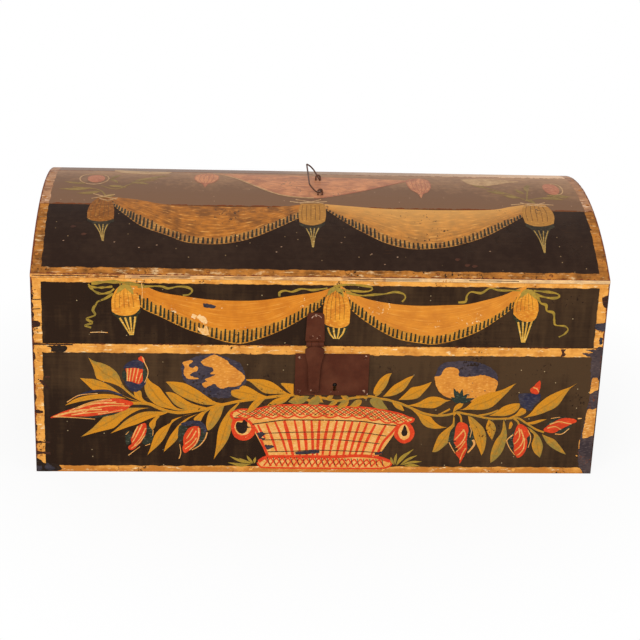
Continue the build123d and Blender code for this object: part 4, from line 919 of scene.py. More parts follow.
RIBS = (
    (1.6, (-60.5, 52.5), (-57, 45), (-53, 38)), (1.8, (-52, 54), (-46, 38), (-41, 23)),
    (1.7, (-43.5, 56), (-36, 38), (-30.5, 20)), (2.8, (-34.3, 57), (-29, 38), (-24.5, 19)),
    (1.9, (-24, 57.5), (-20, 38), (-17.4, 19)), (2.2, (-15.3, 58), (-12.5, 38), (-10.7, 19)),
    (2.0, (-7.2, 58), (-5.5, 38), (-4.7, 19)), (2.2, (1, 58), (0.3, 38), (-0.3, 19)),
    (2.2, (10.2, 58), (7, 38), (5, 19)), (2.0, (18.5, 58), (15, 38), (12, 19)),
    (2.0, (26.5, 57.5), (22.5, 38), (19, 19)), (2.2, (34, 57), (29.5, 38), (26, 19)),
    (1.9, (41.5, 56.5), (36.5, 38), (32, 19)), (2.1, (48.8, 55), (43, 38), (38, 19)),
    (2.0, (57, 53.8), (50, 38), (44.5, 20)), (2.0, (67.3, 53), (60, 37), (54.5, 20)),
)
LEFT_RING = (
    ((-86.5, 46), (-84, 40), (-79.5, 36.3), (-74.4, 35.2), (-69, 36.5), (-65, 40), (-62.7, 46), (-64, 51),
     (-68, 56), (-73, 58.5), (-79, 59.5), (-85, 58), (-87, 52)),
    ((-83.5, 50), (-81, 43.5), (-75.5, 41), (-69.5, 43), (-67, 48.5), (-69, 54), (-75, 56.5), (-81, 56)),
    ((-82.5, 50.5), (-80, 44.5), (-75, 42.8), (-71.5, 46), (-70.5, 49), (-66, 49.8), (-70.5, 51), (-71, 55),
     (-74.5, 57.8), (-76.5, 54.8), (-80.5, 55.5)),
)
RIGHT_RING = (
    ((76, 43), (79, 37.5), (83, 34), (88, 33), (93, 35.5), (96, 40), (96.5, 46), (94, 52), (90, 55.5),
     (84, 55.5), (79, 52)),
    ((80, 46), (82, 39.5), (86.5, 36.8), (91, 39.5), (92, 44.5), (90, 50), (87, 53.8), (83, 52.5)),
    ((86.5, 53), (84.5, 48.5), (83.5, 44), (85.5, 41.3), (88.5, 41.8), (89.6, 45), (88.6, 49)),
)
HOOPS = (((-62, 43), (-45, 43.6), (-24, 44.6), (14, 45.2), (40, 45), (68.5, 41)),
         ((-56, 36), (-23, 36.5), (10, 37), (39, 35), (62, 32.4)),
         ((-50, 23), (-24, 23.8), (-2, 25), (38, 24), (58, 23)))
BASKET_LINES = (
    (1.7, RIM_TOP), (2.4, ((95, 61), (94, 57.5), (88, 55))), (2.6, ((-86, 66), (-87, 62), (-84, 58))),
    (2.6, ((-70, 57), (-64, 50), (-58, 38), (-50, 19))),
    (2.6, ((79.5, 53), (74, 45), (65.5, 34), (60, 20))),
    (3.4, ((-59, 12), (-51, 17), (-33, 17.8), (15, 17.8), (38, 19), (54, 18.3), (64, 16.5), (73, 13))),
    (1.8, FOOT[8:] + FOOT[:1]),
)
FOOT_TOP = ((-56, 17), (0, 17), (72, 15))
FOOT_LOW = ((-56, 7), (5, 6), (70, 6.5))
FOOT_SHADE = ((-22, 21), (-12, 21.4), (-3, 22.6))
LEFT_GRASS = (((-66, 10), (-88, 18)), ((-66, 9), (-90, 11)), ((-64, 10), (-71, 19)), ((-65, 10), (-79, 16)),
              ((-63, 10), (-62, 17)), ((-68, 9), (-83, 8)))
RIGHT_GRASS = (((80, 8), (97, 27)), ((85, 9), (106, 13)), ((79, 9), (80, 22)), ((80, 9), (90, 23)),
               ((84, 9), (101, 20)), ((88, 8), (104, 8)), ((78, 9), (74, 18)))


def weave_rim(lines, thin, rim_top, rim_low):
    """The rim's crossing strokes in red and black, and the scallops along its lower edge. Lean is
    how far along the rim a stroke runs on its way down."""
    cells = 23
    for i in range(cells):
        t = (i + 0.5) / cells
        waver = noise.noise(Vector((i * 1.3, 7.7, 0.0))) * 0.012
        for lean, painting, width in ((0.075, lines, 1.3), (-0.075, lines, 0.9),
                                      (0.08, thin, 0.5), (-0.07, thin, 0.6)):
            shift = waver + (0.02 if painting is thin else 0.0)
            if 0.0 < t + shift + lean < 1.0 and t + shift < 1.0:
                start = rim_top(t + shift).lerp(rim_low(t + shift), 0.04)
                end = rim_top(t + shift + lean).lerp(rim_low(t + shift + lean), 0.86)
                painting.stroke((start, end), width, layer=2 if painting is lines else 3, along=2)
    scallops = 12
    for i in range(scallops):
        a, b = 0.03 + 0.94 * i / scallops, 0.03 + 0.94 * (i + 1) / scallops
        dip = rim_low((a + b) / 2) + Vector((0, -0.9))
        lines.stroke((rim_low(a) + Vector((0, 1.8)), dip, rim_low(b) + Vector((0, 1.8))), 1.6,
                     layer=2, along=6)


def weave_foot(lines, thin):
    """The foot's crossing strokes in red, with short black ones between them."""
    top, low = smooth(FOOT_TOP), smooth(FOOT_LOW)
    cells = 20
    for i in range(cells):
        t = (i + 0.5) / (cells + 1)
        for lean in (0.055, -0.055):
            if 0.0 < t + lean < 1.0:
                lines.stroke((top(t).lerp(low(t), 0.05), top(t + lean).lerp(low(t + lean), 0.95)), 1.5,
                             layer=2, along=2)
        if t + 0.04 < 1.0:
            thin.stroke((top(t + 0.02), low(t + 0.05).lerp(top(t), 0.2)), 0.7, layer=3, along=2)


class CHEST_OT_basket(bpy.types.Operator):
    """Paints the flower basket with its handles, and the grass beside it"""
    bl_idname = "chest.basket"
    bl_label = "Basket"

    def execute(self, context):
        paints = context.scene.chest_paints
        straw = oil_paint("basket_straw_oil_paint", paints.straw, "#D9923E", "#F6D69C", worn=0.35)
        red = oil_paint("basket_red_oil_paint", paints.red, "#C8381A", "#EE7440",
                        worn=0.4, under=paints.straw)
        black = oil_paint("thin_black_oil_paint", "#40301C", "#241D18",
                          "#6A5428", worn=0.5, under=paints.straw)
        dark = oil_paint("ground_in_the_handles", paints.ground, "#22170F", paints.ground_worn)
        grass = leaf_paint("grass_oil_paint", "#A98A30", paints.leaf_olive)
        rim_top, rim_low = smooth(RIM_TOP), smooth(RIM_LOW)
        wall = Painting("basket_wall", on_front)
        wall.between(rim_top, rim_low, 40, 3, layer=1)
        wall.between(smooth(WALL_TOP), smooth(WALL_LOW), 30, 6, layer=1)
        wall.patch(FOOT, layer=1, steps=80, ragged=0.4)
        lines = Painting("basket_red_lines", on_front)
        thin = Painting("basket_black_lines", on_front)
        holes = Painting("basket_handle_holes", on_front)
        for red_outline, straw_outline, hole in (LEFT_RING, RIGHT_RING):
            lines.patch(red_outline, layer=2, steps=60, ragged=0.3)
            wall.patch(straw_outline, layer=3, steps=50, ragged=0.4)
            holes.patch(hole, layer=4, steps=60, ragged=0.4)
        wall.finish("chest", straw)
        holes.finish("chest", dark)

        for width, *rib in RIBS:
            lines.ribbon(smooth(rib), lambda t: width * (0.48 + 0.24 * math.sin(math.pi * t)), 8, layer=2)
        weave_rim(lines, thin, rim_top, rim_low)
        for width, points in BASKET_LINES:
            lines.stroke(points, width, layer=2, along=60)
        weave_foot(lines, thin)
        thin.stroke(BAND, 1.1, layer=3, along=40)
        for hoop in HOOPS:
            thin.stroke(hoop, 0.8, layer=3, along=30)
        thin.stroke(FOOT_SHADE, 1.8, layer=4, along=10)
        lines.finish("chest", red)
        thin.finish("chest", black)

        tufts = Painting("grass_tufts", on_front)
        for base, tip in LEFT_GRASS + RIGHT_GRASS:
            tufts.leaf(tip, base, 2.8, 0.05, 0.35, layer=3, fullness=1.0)
        tufts.finish("chest", grass)
        return {"FINISHED"}


# Swags: top edge, where the fringe begins, lower edge

RAIL_SWAGS = (
    (((-197, 202), (-188, 201), (-173, 198), (-157, 191), (-133, 187), (-110, 184), (-85, 183),
      (-59, 184), (-29, 189), (-5, 193), (9, 198)),
     ((-196, 201), (-187, 194), (-172, 185), (-160, 178), (-133, 166), (-105, 155), (-80, 153),
      (-55, 158), (-36, 166), (-16, 178), (2, 189), (10, 199)),
     ((-195, 198), (-188, 188), (-181, 181), (-172, 173), (-157, 166), (-133, 154), (-113, 147),
      (-92, 140), (-76, 139), (-55, 146), (-36, 155), (-17, 167), (-2, 178), (9, 195))),
    (((15, 201), (24, 195), (38, 188), (54, 184), (75, 181), (98, 180), (121, 181), (140, 182), (160, 187),
      (176, 192), (188, 198), (199, 202)),
     ((16, 199), (25, 187), (38, 177), (55, 164), (73, 156), (96, 150), (113, 149), (129, 153), (148, 161),
      (169, 171), (186, 186), (198, 200)),
     ((17, 195), (23, 182), (30, 173), (47, 160), (72, 146), (97, 141), (113, 140), (133, 145),
      (154, 154), (171, 166), (186, 179), (197, 196))),
)
DOME_SWAGS = (
    (((-213, -58), (-204, -57), (-193, -59), (-179, -62), (-157, -69), (-129, -71.6), (-98, -72),
      (-62, -71.8), (-37, -70), (-20, -66)),
     ((-212, -61), (-204, -70), (-193, -80), (-177, -90), (-152, -107), (-128, -117), (-105, -119),
      (-84, -114), (-63, -105), (-41, -92), (-20, -77)),
     ((-211, -64), (-204, -76), (-193, -89), (-177, -105), (-151, -117), (-133, -125), (-107, -127),
      (-84, -124), (-63, -116), (-41, -103), (-21, -89))),
    (((5, -64), (27, -67), (63, -71), (100, -72), (137, -72), (175, -70), (194, -64), (210, -59)),
     ((5, -72), (25, -88), (43, -98), (64, -112), (88, -121), (110, -122), (132, -116), (161, -103),
      (187, -87), (207, -75)),
     ((5, -74), (25, -96), (42, -110), (63, -123), (84, -129), (106, -129), (131, -125), (160, -114),
      (186, -97), (207, -80))),
)
# Tassels: left and right side of the bell, its rim between them, tip, half width at the tip
RAIL_TASSELS = (
    (((-194, 198), (-199.5, 192), (-203, 183), (-203, 171)),
     ((-186, 198), (-180, 191), (-176.5, 183), (-176, 174)),
     ((-198, 167.5), (-189, 166.5), (-181, 168.5)), (-184, 146), 2.0),
    (((9, 197), (3, 188), (0.7, 176), (1, 162.3)), ((17, 197), (24, 188), (26.8, 176), (26.7, 161.3)),
     ((4.1, 159.1), (15.2, 156), (23.7, 158)), (14.4, 144.5), 3.4),
    (((196, 197), (190.5, 192), (187, 183), (187, 172.5)),
     ((203, 197), (207, 191), (210.5, 184.5), (211.5, 176.5)),
     ((193, 167), (202, 164.5), (209, 167.5)), (199, 142), 2.0),
)
DOME_TASSELS = (
    (((-222, -58), (-228, -68), (-231, -81.4), (-230.7, -94.2)),
     ((-212, -58), (-207, -68), (-205, -81), (-204.5, -94.7)),
     ((-226, -97.5), (-218, -99), (-210, -97.5)), (-213, -126), 0.7),
    (((-19, -64), (-21, -72), (-22, -84), (-21.5, -95.4)), ((4, -63), (5.5, -72), (5.5, -84), (4, -94)),
     ((-17, -98.5), (-9, -100.4), (-1, -98)), (-9.3, -130), 0.7),
    (((211, -58), (206, -68), (204.7, -80), (205.5, -91.5)),
     ((231, -58), (236, -70), (237, -81), (234.5, -92.2)),
     ((211, -95.5), (219, -97), (228, -95.5)), (219, -133), 0.7),
)


def paint_drapes(prefix, place, swags, lights, cloth_paint, fringe_paint, stroke_paint):
    """Drapes with their fringes, on the lid. Lights give for each drape the tint at its lower edge
    and what it gains up to its upper edge."""
    sizes = bpy.context.scene.chest_sizes
    cloth = Painting(f"{prefix}_drapes", place)
    edge = Painting(f"{prefix}_fringe", place)
    strokes = Painting(f"{prefix}_fringe_strokes", place)
    for (top, start, low), (tint, fade) in zip(swags, lights):
        top, start, low = smooth(top), smooth(start), smooth(low)
        cloth.between(start, top, 36, 6, layer=1, tint=tint, fade=fade)
        edge.between(low, start, 36, 2, layer=1)
        length = sum((low(i / 40) - low((i + 1) / 40)).length for i in range(40))
        count = int(length / (sizes.fringe_step / MM))
        for i in range(count):
            waver = 0.3 * noise.noise(Vector((i * 2.3, len(prefix), 0.0)))
            foot = low((i + 0.5) / count)
            head = min((start(k / 80) for k in range(81)), key=lambda p: abs(p.x - foot.x))
            rise = head.y - foot.y
            strokes.stroke((foot + Vector((0, 0.07 * rise)), foot + Vector((0.4, (0.98 + waver) * rise))),
                           sizes.fringe_stroke / MM * (1 + waver), layer=2, along=3, taper=0.45)
    for painting, paint in ((cloth, cloth_paint), (edge, fringe_paint), (strokes, stroke_paint)):
        painting.finish("lid", paint)


def paint_tassels(prefix, place, tassels, tints, stripe, bell_paint, skirt_paint, stripe_paint, fold_paint):
    """Tassels on the lid: a bell with folds, and a skirt below it with stripes of a width in mm.
    Tints are those of the bells."""
    bells = Painting(f"{prefix}_tassels", place)
    skirts = Painting(f"{prefix}_tassel_skirts", place)
    stripes = Painting(f"{prefix}_tassel_stripes", place)
    folds = Painting(f"{prefix}_tassel_folds", place)
    for (left, right, rim, tip, blunt), tint in zip(tassels, tints):
        corners = Vector(left[-1]), Vector(right[-1])
        rim = smooth((left[-1],) + rim + (right[-1],))
        left, right, tip = smooth(left), smooth(right), Vector(tip)
        bells.between(left, right, 12, 8, layer=3, tint=tint)
        bells.between(smooth(corners), rim, 12, 2, layer=3, tint=tint)
        drop = tip - rim(0.5)
        sides = []
        for t, way in ((0.03, -1), (0.97, 1)):
            end = tip + Vector((way * blunt, 0))
            waist = rim(t).lerp(end, 0.55) + Vector((way * (blunt - 2.0) * 1.7, 0))
            sides.append(smooth([rim(t), waist, end]))
        skirts.between(*sides, 12, 8, layer=2)
        skirts.between(smooth([rim(i / 6) for i in range(7)]),
                       smooth([rim(i / 6) + drop * 0.16 for i in range(7)]), 12, 2, layer=2)
        for i in range(4):
            t = 0.14 + 0.24 * i
            start = sides[0](0.22).lerp(sides[1](0.22), t) + drop * 0.05
            middle = sides[0](0.6).lerp(sides[1](0.6), t)
            end = sides[0](0.97).lerp(sides[1](0.97), 0.1 + 0.8 * t)
            stripes.stroke((start, middle, end), stripe, layer=3, taper=0.4)
        for i in range(5):
            t = (i + 0.7) / 6
            folds.stroke([left(down).lerp(right(down), t) for down in (0.1, 0.5, 0.92)], 0.55, layer=4)
    for painting, paint in ((bells, bell_paint), (skirts, skirt_paint), (stripes, stripe_paint),
                            (folds, fold_paint)):
        painting.finish("lid", paint)


class CHEST_OT_rail_swags(bpy.types.Operator):
    """Paints the drapes and tassels on the lid's rail"""
    bl_idname = "chest.rail_swags"
    bl_label = "Rail drapes"

    def execute(self, context):
        paints = context.scene.chest_paints
        cloth = oil_paint("orange_drape_oil_paint", paints.swag, paints.swag_shade, paints.swag_light,
                          worn=0.4, streaks=(200, 34), under=paints.border_pale)
        edge = oil_paint("orange_fringe_oil_paint", "#D08E30", "#A86C20", "#E6B45C", worn=0.4)
        bell = oil_paint("orange_tassel_oil_paint", "#E2982E", "#C47420", paints.swag_light, worn=0.3)
        dark = oil_paint("green_black_fringe_oil_paint", "#38351F", "#1F1C12", "#56583A", worn=0.2)
        fold = oil_paint("brown_fold_oil_paint", "#A8701E", "#7E5420", "#C08A34")
        yellow = oil_paint("yellow_stripe_oil_paint", "#E0AE4A", "#B9842C", "#F3D590", worn=0.3)
        paint_drapes("rail", on_front, RAIL_SWAGS, ((0.0, 0.0), (0.08, 0.0)), cloth, edge, dark)
        paint_tassels("rail", on_front, RAIL_TASSELS, (0.0, 0.0, 0.0), 1.9, bell, dark, yellow, fold)
        return {"FINISHED"}


class CHEST_OT_dome_swags(bpy.types.Operator):
    """Paints the drapes and tassels on the dome"""
    bl_idname = "chest.dome_swags"
    bl_label = "Dome drapes"

    def execute(self, context):
        paints = context.scene.chest_paints
        cloth = oil_paint("ochre_drape_oil_paint", paints.dome_swag, paints.dome_swag_shade,
                          paints.dome_swag_light, worn=0.45, streaks=(420, 26), contrast=1.2)
        edge = oil_paint("ochre_fringe_oil_paint", "#B47C3A", "#80522A", "#DDB878", worn=0.4)
        bell = oil_paint("ochre_tassel_oil_paint", "#92561E", "#744318", "#D8A04E", worn=0.25)
        dark = oil_paint("dark_fringe_oil_paint", "#3A3020", "#221A12", "#56543C", worn=0.3)
        fold = oil_paint("dark_fold_oil_paint", "#7A4E22", "#5A3A1E", "#946636")
        yellow = oil_paint("ochre_stripe_oil_paint", "#AC8A4A", "#80602E", "#D0B078", worn=0.4)
        paint_drapes("dome", on_dome, DOME_SWAGS, ((0.0, 0.0), (0.18, 0.5)), cloth, edge, dark)
        paint_tassels("dome", on_dome, DOME_TASSELS, (0.0, 0.35, 0.35), 1.2, bell, dark, yellow, fold)
        return {"FINISHED"}


# Bows and their wavy ends on the rail: width, then the line

KNOTS = ((-190, 197), (12, 197), (200, 197))
RIBBONS = (
    (2.2, (-202, 196), (-211, 195), (-218.3, 195), (-223, 196.4), (-225, 198.3)),
    (2.5, (-224.5, 197), (-219.5, 191.5), (-213.5, 188.7), (-205, 190.2), (-200.3, 194)),
    (2.5, (-201.5, 189), (-208.8, 184), (-216, 180.7), (-218.3, 177.6), (-221, 172), (-219, 167),
     (-227, 163), (-222, 159), (-229, 156), (-223, 154)),
    (3.5, (-222, 199), (-205, 201), (-190, 200), (-172, 197)),
    (2.3, (-178, 196), (-157, 197), (-149, 195), (-139, 197), (-130, 196), (-126, 193), (-129, 189),
     (-135, 188)),
    (2.3, (-42, 188), (-42, 192), (-37, 194), (-30, 193), (-21, 196), (-10, 195), (4, 197)),
    (2.3, (10, 199), (26, 201), (45, 199), (47, 196), (39, 194), (14, 196)),
    (2.3, (22, 193), (36, 190), (50, 191), (60, 192), (70, 194), (78, 192), (80, 188), (77, 184)),
    (2.3, (132, 184), (139, 185), (140, 191), (144, 195), (154, 194), (162, 199), (172, 197), (192, 197)),
    (2.6, (204, 195), (212.7, 191.5), (223.5, 189.5), (230, 190.5), (230.6, 192.6), (226.8, 194.7),
     (218, 196), (205, 197)),
    (2.8, (208.3, 192.6), (213, 184.5), (218.5, 182.3), (219.8, 176.5), (226.5, 174.2), (228, 166.2)),
    (1.9, (228, 166.2), (229.8, 161.6), (239, 160.5), (242.5, 157), (239.5, 152.4), (234, 149)),
)


class CHEST_OT_bows(bpy.types.Operator):
    """Paints the bows and their wavy ends"""
    bl_idname = "chest.bows"
    bl_label = "Bows"

    def execute(self, context):
        paints = context.scene.chest_paints
        olive = oil_paint("olive_ribbon_oil_paint", paints.ribbon, "#7E6A2C", "#B89840", worn=0.35)
        bows = Painting("bow_ribbons", on_front)
        for width, *line in RIBBONS:
            bows.ribbon(smooth(line), lambda t: width / 2 * (0.85 + 0.25 * math.sin(19 * t)),
                        6 * len(line), layer=3)
        for x, z in KNOTS:
            bows.leaf((x + 8, z - 9), (x - 1, z + 1), 5, 0.1, 0.3, layer=5)
            bows.leaf((x - 8, z - 8), (x + 1, z + 1), 5, -0.1, 0.3, layer=5)
        bows.finish("lid", olive)
        return {"FINISHED"}


# Faded painting on the crown: upper and lower line of each form

CROWN_PINK = (
    (((-102, 21), (-60, 20), (-10, 18), (13, 12), (52, 9), (96, 4)),
     ((-102, 20), (-82, -1), (-70, -17), (-49, -39), (-29, -49), (-1, -51), (28, -41), (50, -30), (72, -16),
      (97, 2))),
)
CROWN_TASSELS = (
    (((-113, 22), (-125, 12), (-127, -4), (-123, -15), (-118, -20), (-116, -31)),
     ((-113, 22), (-103, 14), (-102, -2), (-107, -15), (-113, -20), (-116, -31))),
    (((111, 14), (99, 9), (94, -2), (96, -25), (103, -37), (105, -49)),
     ((111, 14), (118, 5), (119, -15), (114, -32), (108, -38), (105, -49))),
)
# Flowers: middle and half widths of the ring and of the red heart
CROWN_FLOWERS = ((-230, -8, 15, 18, -228, -8, 9, 13), (250, -17, 7, 17, 245, -18, 8.5, 17))
CROWN_OCHRE = (
    (((-212, 36), (-190, 30), (-151, 27)), ((-211, 24), (-195, 15), (-161, 13), (-151, 25))),
    (((154, 13), (188, 17), (215, 7)), ((154, 11), (161, -7), (178, -12), (203, 1), (215, 5))),
)
BOW_SCRIBBLES = (
    ((-228, -50), (-216, -56), (-204, -61)), ((-206, -51), (-216, -55), (-229, -60)),
    ((-221, -60), (-212, -63), (-203, -58)),
    ((-24, -56), (-10, -60), (4, -63)), ((2, -55), (-8, -60), (-20, -63)), ((-30, -60), (-16, -62), (8, -59)),
    ((206, -55), (218, -60), (232, -62)), ((232, -54), (222, -59), (208, -62)),
    ((196, -60), (214, -57), (240, -59)),
)
# Leaves: tip, base, width
CROWN_LEAVES = (
    (-260, -19, -237, -24, 5), (-264, -39, -230, -36, 6), (-245, -49, -221, -44, 6), (-205, -22, -214, -8, 5),
    (-195, -34, -214, -30, 6), (-167, -4, -188, -14, 6), (-173, -24, -192, -18, 6), (-152, 8, -176, -8, 5),
    (-203, 8, -212, -8, 5), (-222, -58, -206, -50, 6), (160, -2, 178, -20, 5), (175, -26, 194, -34, 6),
    (190, -37, 208, -44, 6), (223, -4, 218, -28, 5), (207, -20, 214, -34, 5), (254, -47, 228, -44, 6),
    (263, -40, 236, -38, 6), (222, -57, 214, -48, 5),
)
CROWN_STEMS = (((-222, -30), (-205, -38), (-190, -22), (-165, -8)), ((-214, -56), (-224, -40), (-250, -34)),
               ((176, -18), (196, -34), (212, -48)), ((214, -50), (218, -30), (224, -8)),
               ((212, -50), (236, -42), (258, -42)))


def half_oval(x, y, half_x, half_y, way):
    """The upper half of an oval as a line, or with a way of -1 its lower half."""
    turns = [math.pi * i / 6 for i in range(7)]
    return smooth([(x - half_x * math.cos(a), y + way * half_y * math.sin(a)) for a in turns])


class CHEST_OT_crown(bpy.types.Operator):
    """Paints the faded drape, tassels, flowers and leaves on the top plank"""
    bl_idname = "chest.crown"
    bl_label = "Crown painting"

    def execute(self, context):
        paints = context.scene.chest_paints
        dusk = "#7A5E4A"
        pink = oil_paint("faded_pink_oil_paint", paints.crown_pink, "#A86E50", "#DCA480",
                         worn=0.5, streaks=(200, 50), under=dusk, roughness=0.5, contrast=1.6)
        ochre = oil_paint("faded_ochre_oil_paint", paints.crown_ochre, "#A88058",
                          "#DCBC90", worn=0.45, under=dusk, roughness=0.5)
        olive = oil_paint("faded_olive_oil_paint", paints.crown_olive, "#7C6238",
                          "#A98C56", worn=0.4, under=dusk, roughness=0.5)
        red = oil_paint("faded_red_oil_paint", "#BC7858", "#A06048", "#CC9470",
                        worn=0.6, under=dusk, roughness=0.5)

        drapes = Painting("crown_drape", on_dome)
        patches = Painting("crown_ochre_forms", on_dome)
        marks = Painting("crown_red_marks", on_dome)
        for upper, lower in CROWN_PINK:
            drapes.between(smooth(lower), smooth(upper), 40, 12, layer=1)
        for *ring, x, y, half_x, half_y in CROWN_FLOWERS:
            for way in (-1, 1):
                patches.ribbon(half_oval(*ring, way), lambda t: 0.7, 24, layer=1)
            marks.between(half_oval(x, y, half_x, half_y, -1), half_oval(x, y, half_x, half_y, 1),
                          18, 6, layer=2)
        for upper, lower in CROWN_OCHRE:
            patches.between(smooth(lower), smooth(upper), 20, 5, layer=1)
        edge = smooth(CROWN_PINK[0][1])
        patches.ribbon(lambda t: edge(0.02 + 0.5 * t), lambda t: 1.0, 30, layer=2)
        marks.ribbon(lambda t: edge(0.52 + 0.46 * t), lambda t: 1.0, 30, layer=2)
        for left, right in CROWN_TASSELS:
            left, right = smooth(left), smooth(right)
            drapes.between(left, right, 20, 6, layer=2)
            for shares, first, run, half_width in (((0.22, 0.4, 0.6, 0.78), 0.12, 0.7, 0.45),
                                                   ((0.02, 0.98), 0.05, 0.9, 0.55)):
                for share in shares:
                    marks.ribbon(lambda t: left(first + run * t).lerp(right(first + run * t), share),
                                 lambda t: half_width, 24, layer=3)
        for line in BOW_SCRIBBLES:
            patches.stroke(line, 1.5, layer=4, along=12)
        for painting, paint in ((drapes, pink), (patches, ochre), (marks, red)):
            painting.finish("lid", paint)
        leaves = Painting("crown_leaves", on_dome)
        for tip_x, tip_y, base_x, base_y, width in CROWN_LEAVES:
            leaves.leaf((tip_x, tip_y), (base_x, base_y), width, 0.06, layer=1)
        for line in CROWN_STEMS:
            leaves.stroke(line, 1.6, layer=1, along=16)
        leaves.finish("lid", olive)
        return {"FINISHED"}


# Flakes and chips that the general wear doesn't place: outlines in mm

NAVY_CHIPS = (
    ((-271, 8.5), (-266, 8), (-262, 4), (-266, 2), (-271, 4)), ((-279, 6), (-275, 6.5), (-275, 2), (-279, 2)),
    ((-61, 43), (-55, 45), (-53, 42), (-57, 39), (-52, 37), (-58, 37)),
    ((-53, 30), (-47, 31), (-44, 28), (-50, 26)),
    ((-22, 23), (-12, 24), (0, 26), (1, 22), (-10, 21), (-23, 21)),
    ((60, 23), (66, 24), (64, 20), (58, 21)),
)
GROUND_CHIPS = (
    ((-262, 129), (-262, 132.5), (-265, 134.5), (-247, 134.5), (-249, 128.5), (-256, 128.5)),
    ((-280, 14), (-276, 13), (-272, 9.5), (-262, 9), (-257, 7), (-255, 3), (-262, 0.6), (-280, 0.6)),
)
WOOD_CHIPS = (
    ((237.5, 135.5), (242.5, 136), (241, 133), (243, 130), (238, 128.3), (239, 132)),
    ((-280, 33.5), (-273, 33), (-266, 33), (-266, 31), (-274, 31.5), (-280, 31)),
    ((-280, 22.5), (-272, 22), (-266, 21.5), (-266, 18.8), (-273, 19.5), (-280, 19)),
    ((-268, 103), (-264, 102.6), (-264, 101), (-268, 101.3)),
    ((-274, 98), (-271.5, 99), (-268, 94), (-264, 90), (-265, 88.8), (-270, 92)),
    ((-280, 128), (-277.6, 127), (-277.2, 121), (-278.6, 119), (-280, 119)),
    ((-280, 112), (-278, 110), (-278.2, 106), (-280, 104)),
    ((-280, 84), (-277.4, 82), (-278, 77), (-280, 75)),
    ((-280, 66), (-275, 67), (-271, 65), (-276, 63)), ((-280, 52), (-277.6, 50), (-278.2, 45), (-280, 43)),
)
GREY_BORDER = (
    ((269, 128), (280, 129), (280, 6), (268, 7), (265, 30), (268, 60), (271, 90)),
    ((272, 7.5), (280, 8), (280, 0.5), (274, 1.5)),
    ((267, 128.5), (280, 128), (280, 136.6), (274, 136.5), (262, 135.8), (268, 134), (259, 131.5)),
)
STRAW_ISLANDS = (
    ((271.5, 104.5), (276, 106), (279, 101), (279, 93.5), (275.5, 91.5), (270.8, 88.4), (271, 96)),
    ((270, 70.5), (276, 71.5), (279.5, 72.5), (279, 60), (278.5, 44.5), (275, 41.5), (267.5, 41),
     (268.5, 55)),
    ((262.6, 20), (263.6, 21), (264.5, 20), (263.5, 19.2)), ((262, 133), (266, 134), (270, 133), (266, 132)),
)
RAIL_NAVY_CHIPS = (
    ((270, 163), (276, 164), (280, 163.5), (280, 156), (273, 156.5), (270, 158)),
    ((275, 148), (278, 148), (278, 142), (275.5, 142)),
    ((-115, 180), (-108, 179), (-103, 177), (-106, 175), (-114, 176)),
)
RAIL_WOOD_CHIPS = (
    ((274, 191), (280, 192), (280, 180), (276.5, 181), (274, 186)),
    ((-280, 160), (-274, 160), (-271, 157), (-274, 154), (-280, 154)),
    ((-280, 199), (-278, 197), (-278.4, 193), (-280, 191)),
    ((-280, 188), (-277.4, 187), (-278, 183.6), (-280, 183)),
    ((-280, 180), (-278, 178), (-277.6, 175), (-280, 173.5)),
    ((-280, 170), (-277.2, 168), (-278, 164), (-280, 163)),
    ((-280, 151), (-278, 149), (-278.4, 145), (-280, 144)),
)
WORN_SWAG = (
    ((-127, 168), (-121, 168.5), (-115, 166), (-111.5, 163), (-112, 158), (-115.5, 160), (-119, 163.5),
     (-125, 164.5)),
    ((-121, 155.5), (-116, 154), (-112.5, 157), (-110.5, 152), (-109.5, 147), (-114, 147.5), (-119.5, 151.5)),
)
# Scratches and thin worn lines: width, then the line
BODY_WOOD_LINES = (
    (1.4, (-279.6, 136.2), (-262, 136.2), (-241, 136.1)), (1.0, (279.3, 128), (279.4, 60), (279.2, 8)),
)
BODY_PALE_LINES = ((0.9, (265.2, 38), (265, 33), (265.3, 28)),)
RAIL_WOOD_LINES = ((0.8, (-279.6, 182.6), (-275, 182), (-270.5, 182.4)), (0.8, (-279, 172.2), (-271, 172.8)))
RAIL_PALE_LINES = (
    (0.7, (-174, 184), (-173.6, 192), (-174.2, 200)), (0.7, (-224, 149), (-215, 149.4), (-207, 149)),
)
EDGE_CRACKS = (
    (0.8, (-278, 206.6), (-262, 206.3), (-240, 206.7), (-225, 206.4)), (0.7, (-219, 206.5), (-196, 206.1)),
    (0.7, (-176, 206.6), (-150, 206.4), (-128, 206.7)), (0.6, (-96, 206.2), (-60, 206.6)),
    (0.6, (24, 206.5), (66, 206.2), (92, 206.6)), (0.6, (141, 206.5), (190, 206.3)),
)
DOME_SPECKS = (
    (-202, -126), (-161, -129), (-178, -132), (-251, -125), (-45, -135), (-40, -129), (19, -123), (48, -136),
    (60, -147), (165, -131), (73, -139),
)
DOME_BLOTCHES = ((148, -148), (132, -141), (-243, -107), (-232, -117), (141, -147))
# The lid's rubbed edge: its lower and upper height, and parts that grow paler to the right
EDGE_FOOT, EDGE_HEAD = 204.6, 208.1
EDGE_PARTS = ((-279.8, -190, 0.0), (-190, 60, 0.2), (60, 279.8, 0.45))
# One step of a chip's outline
CHIP_STEP = 1.2


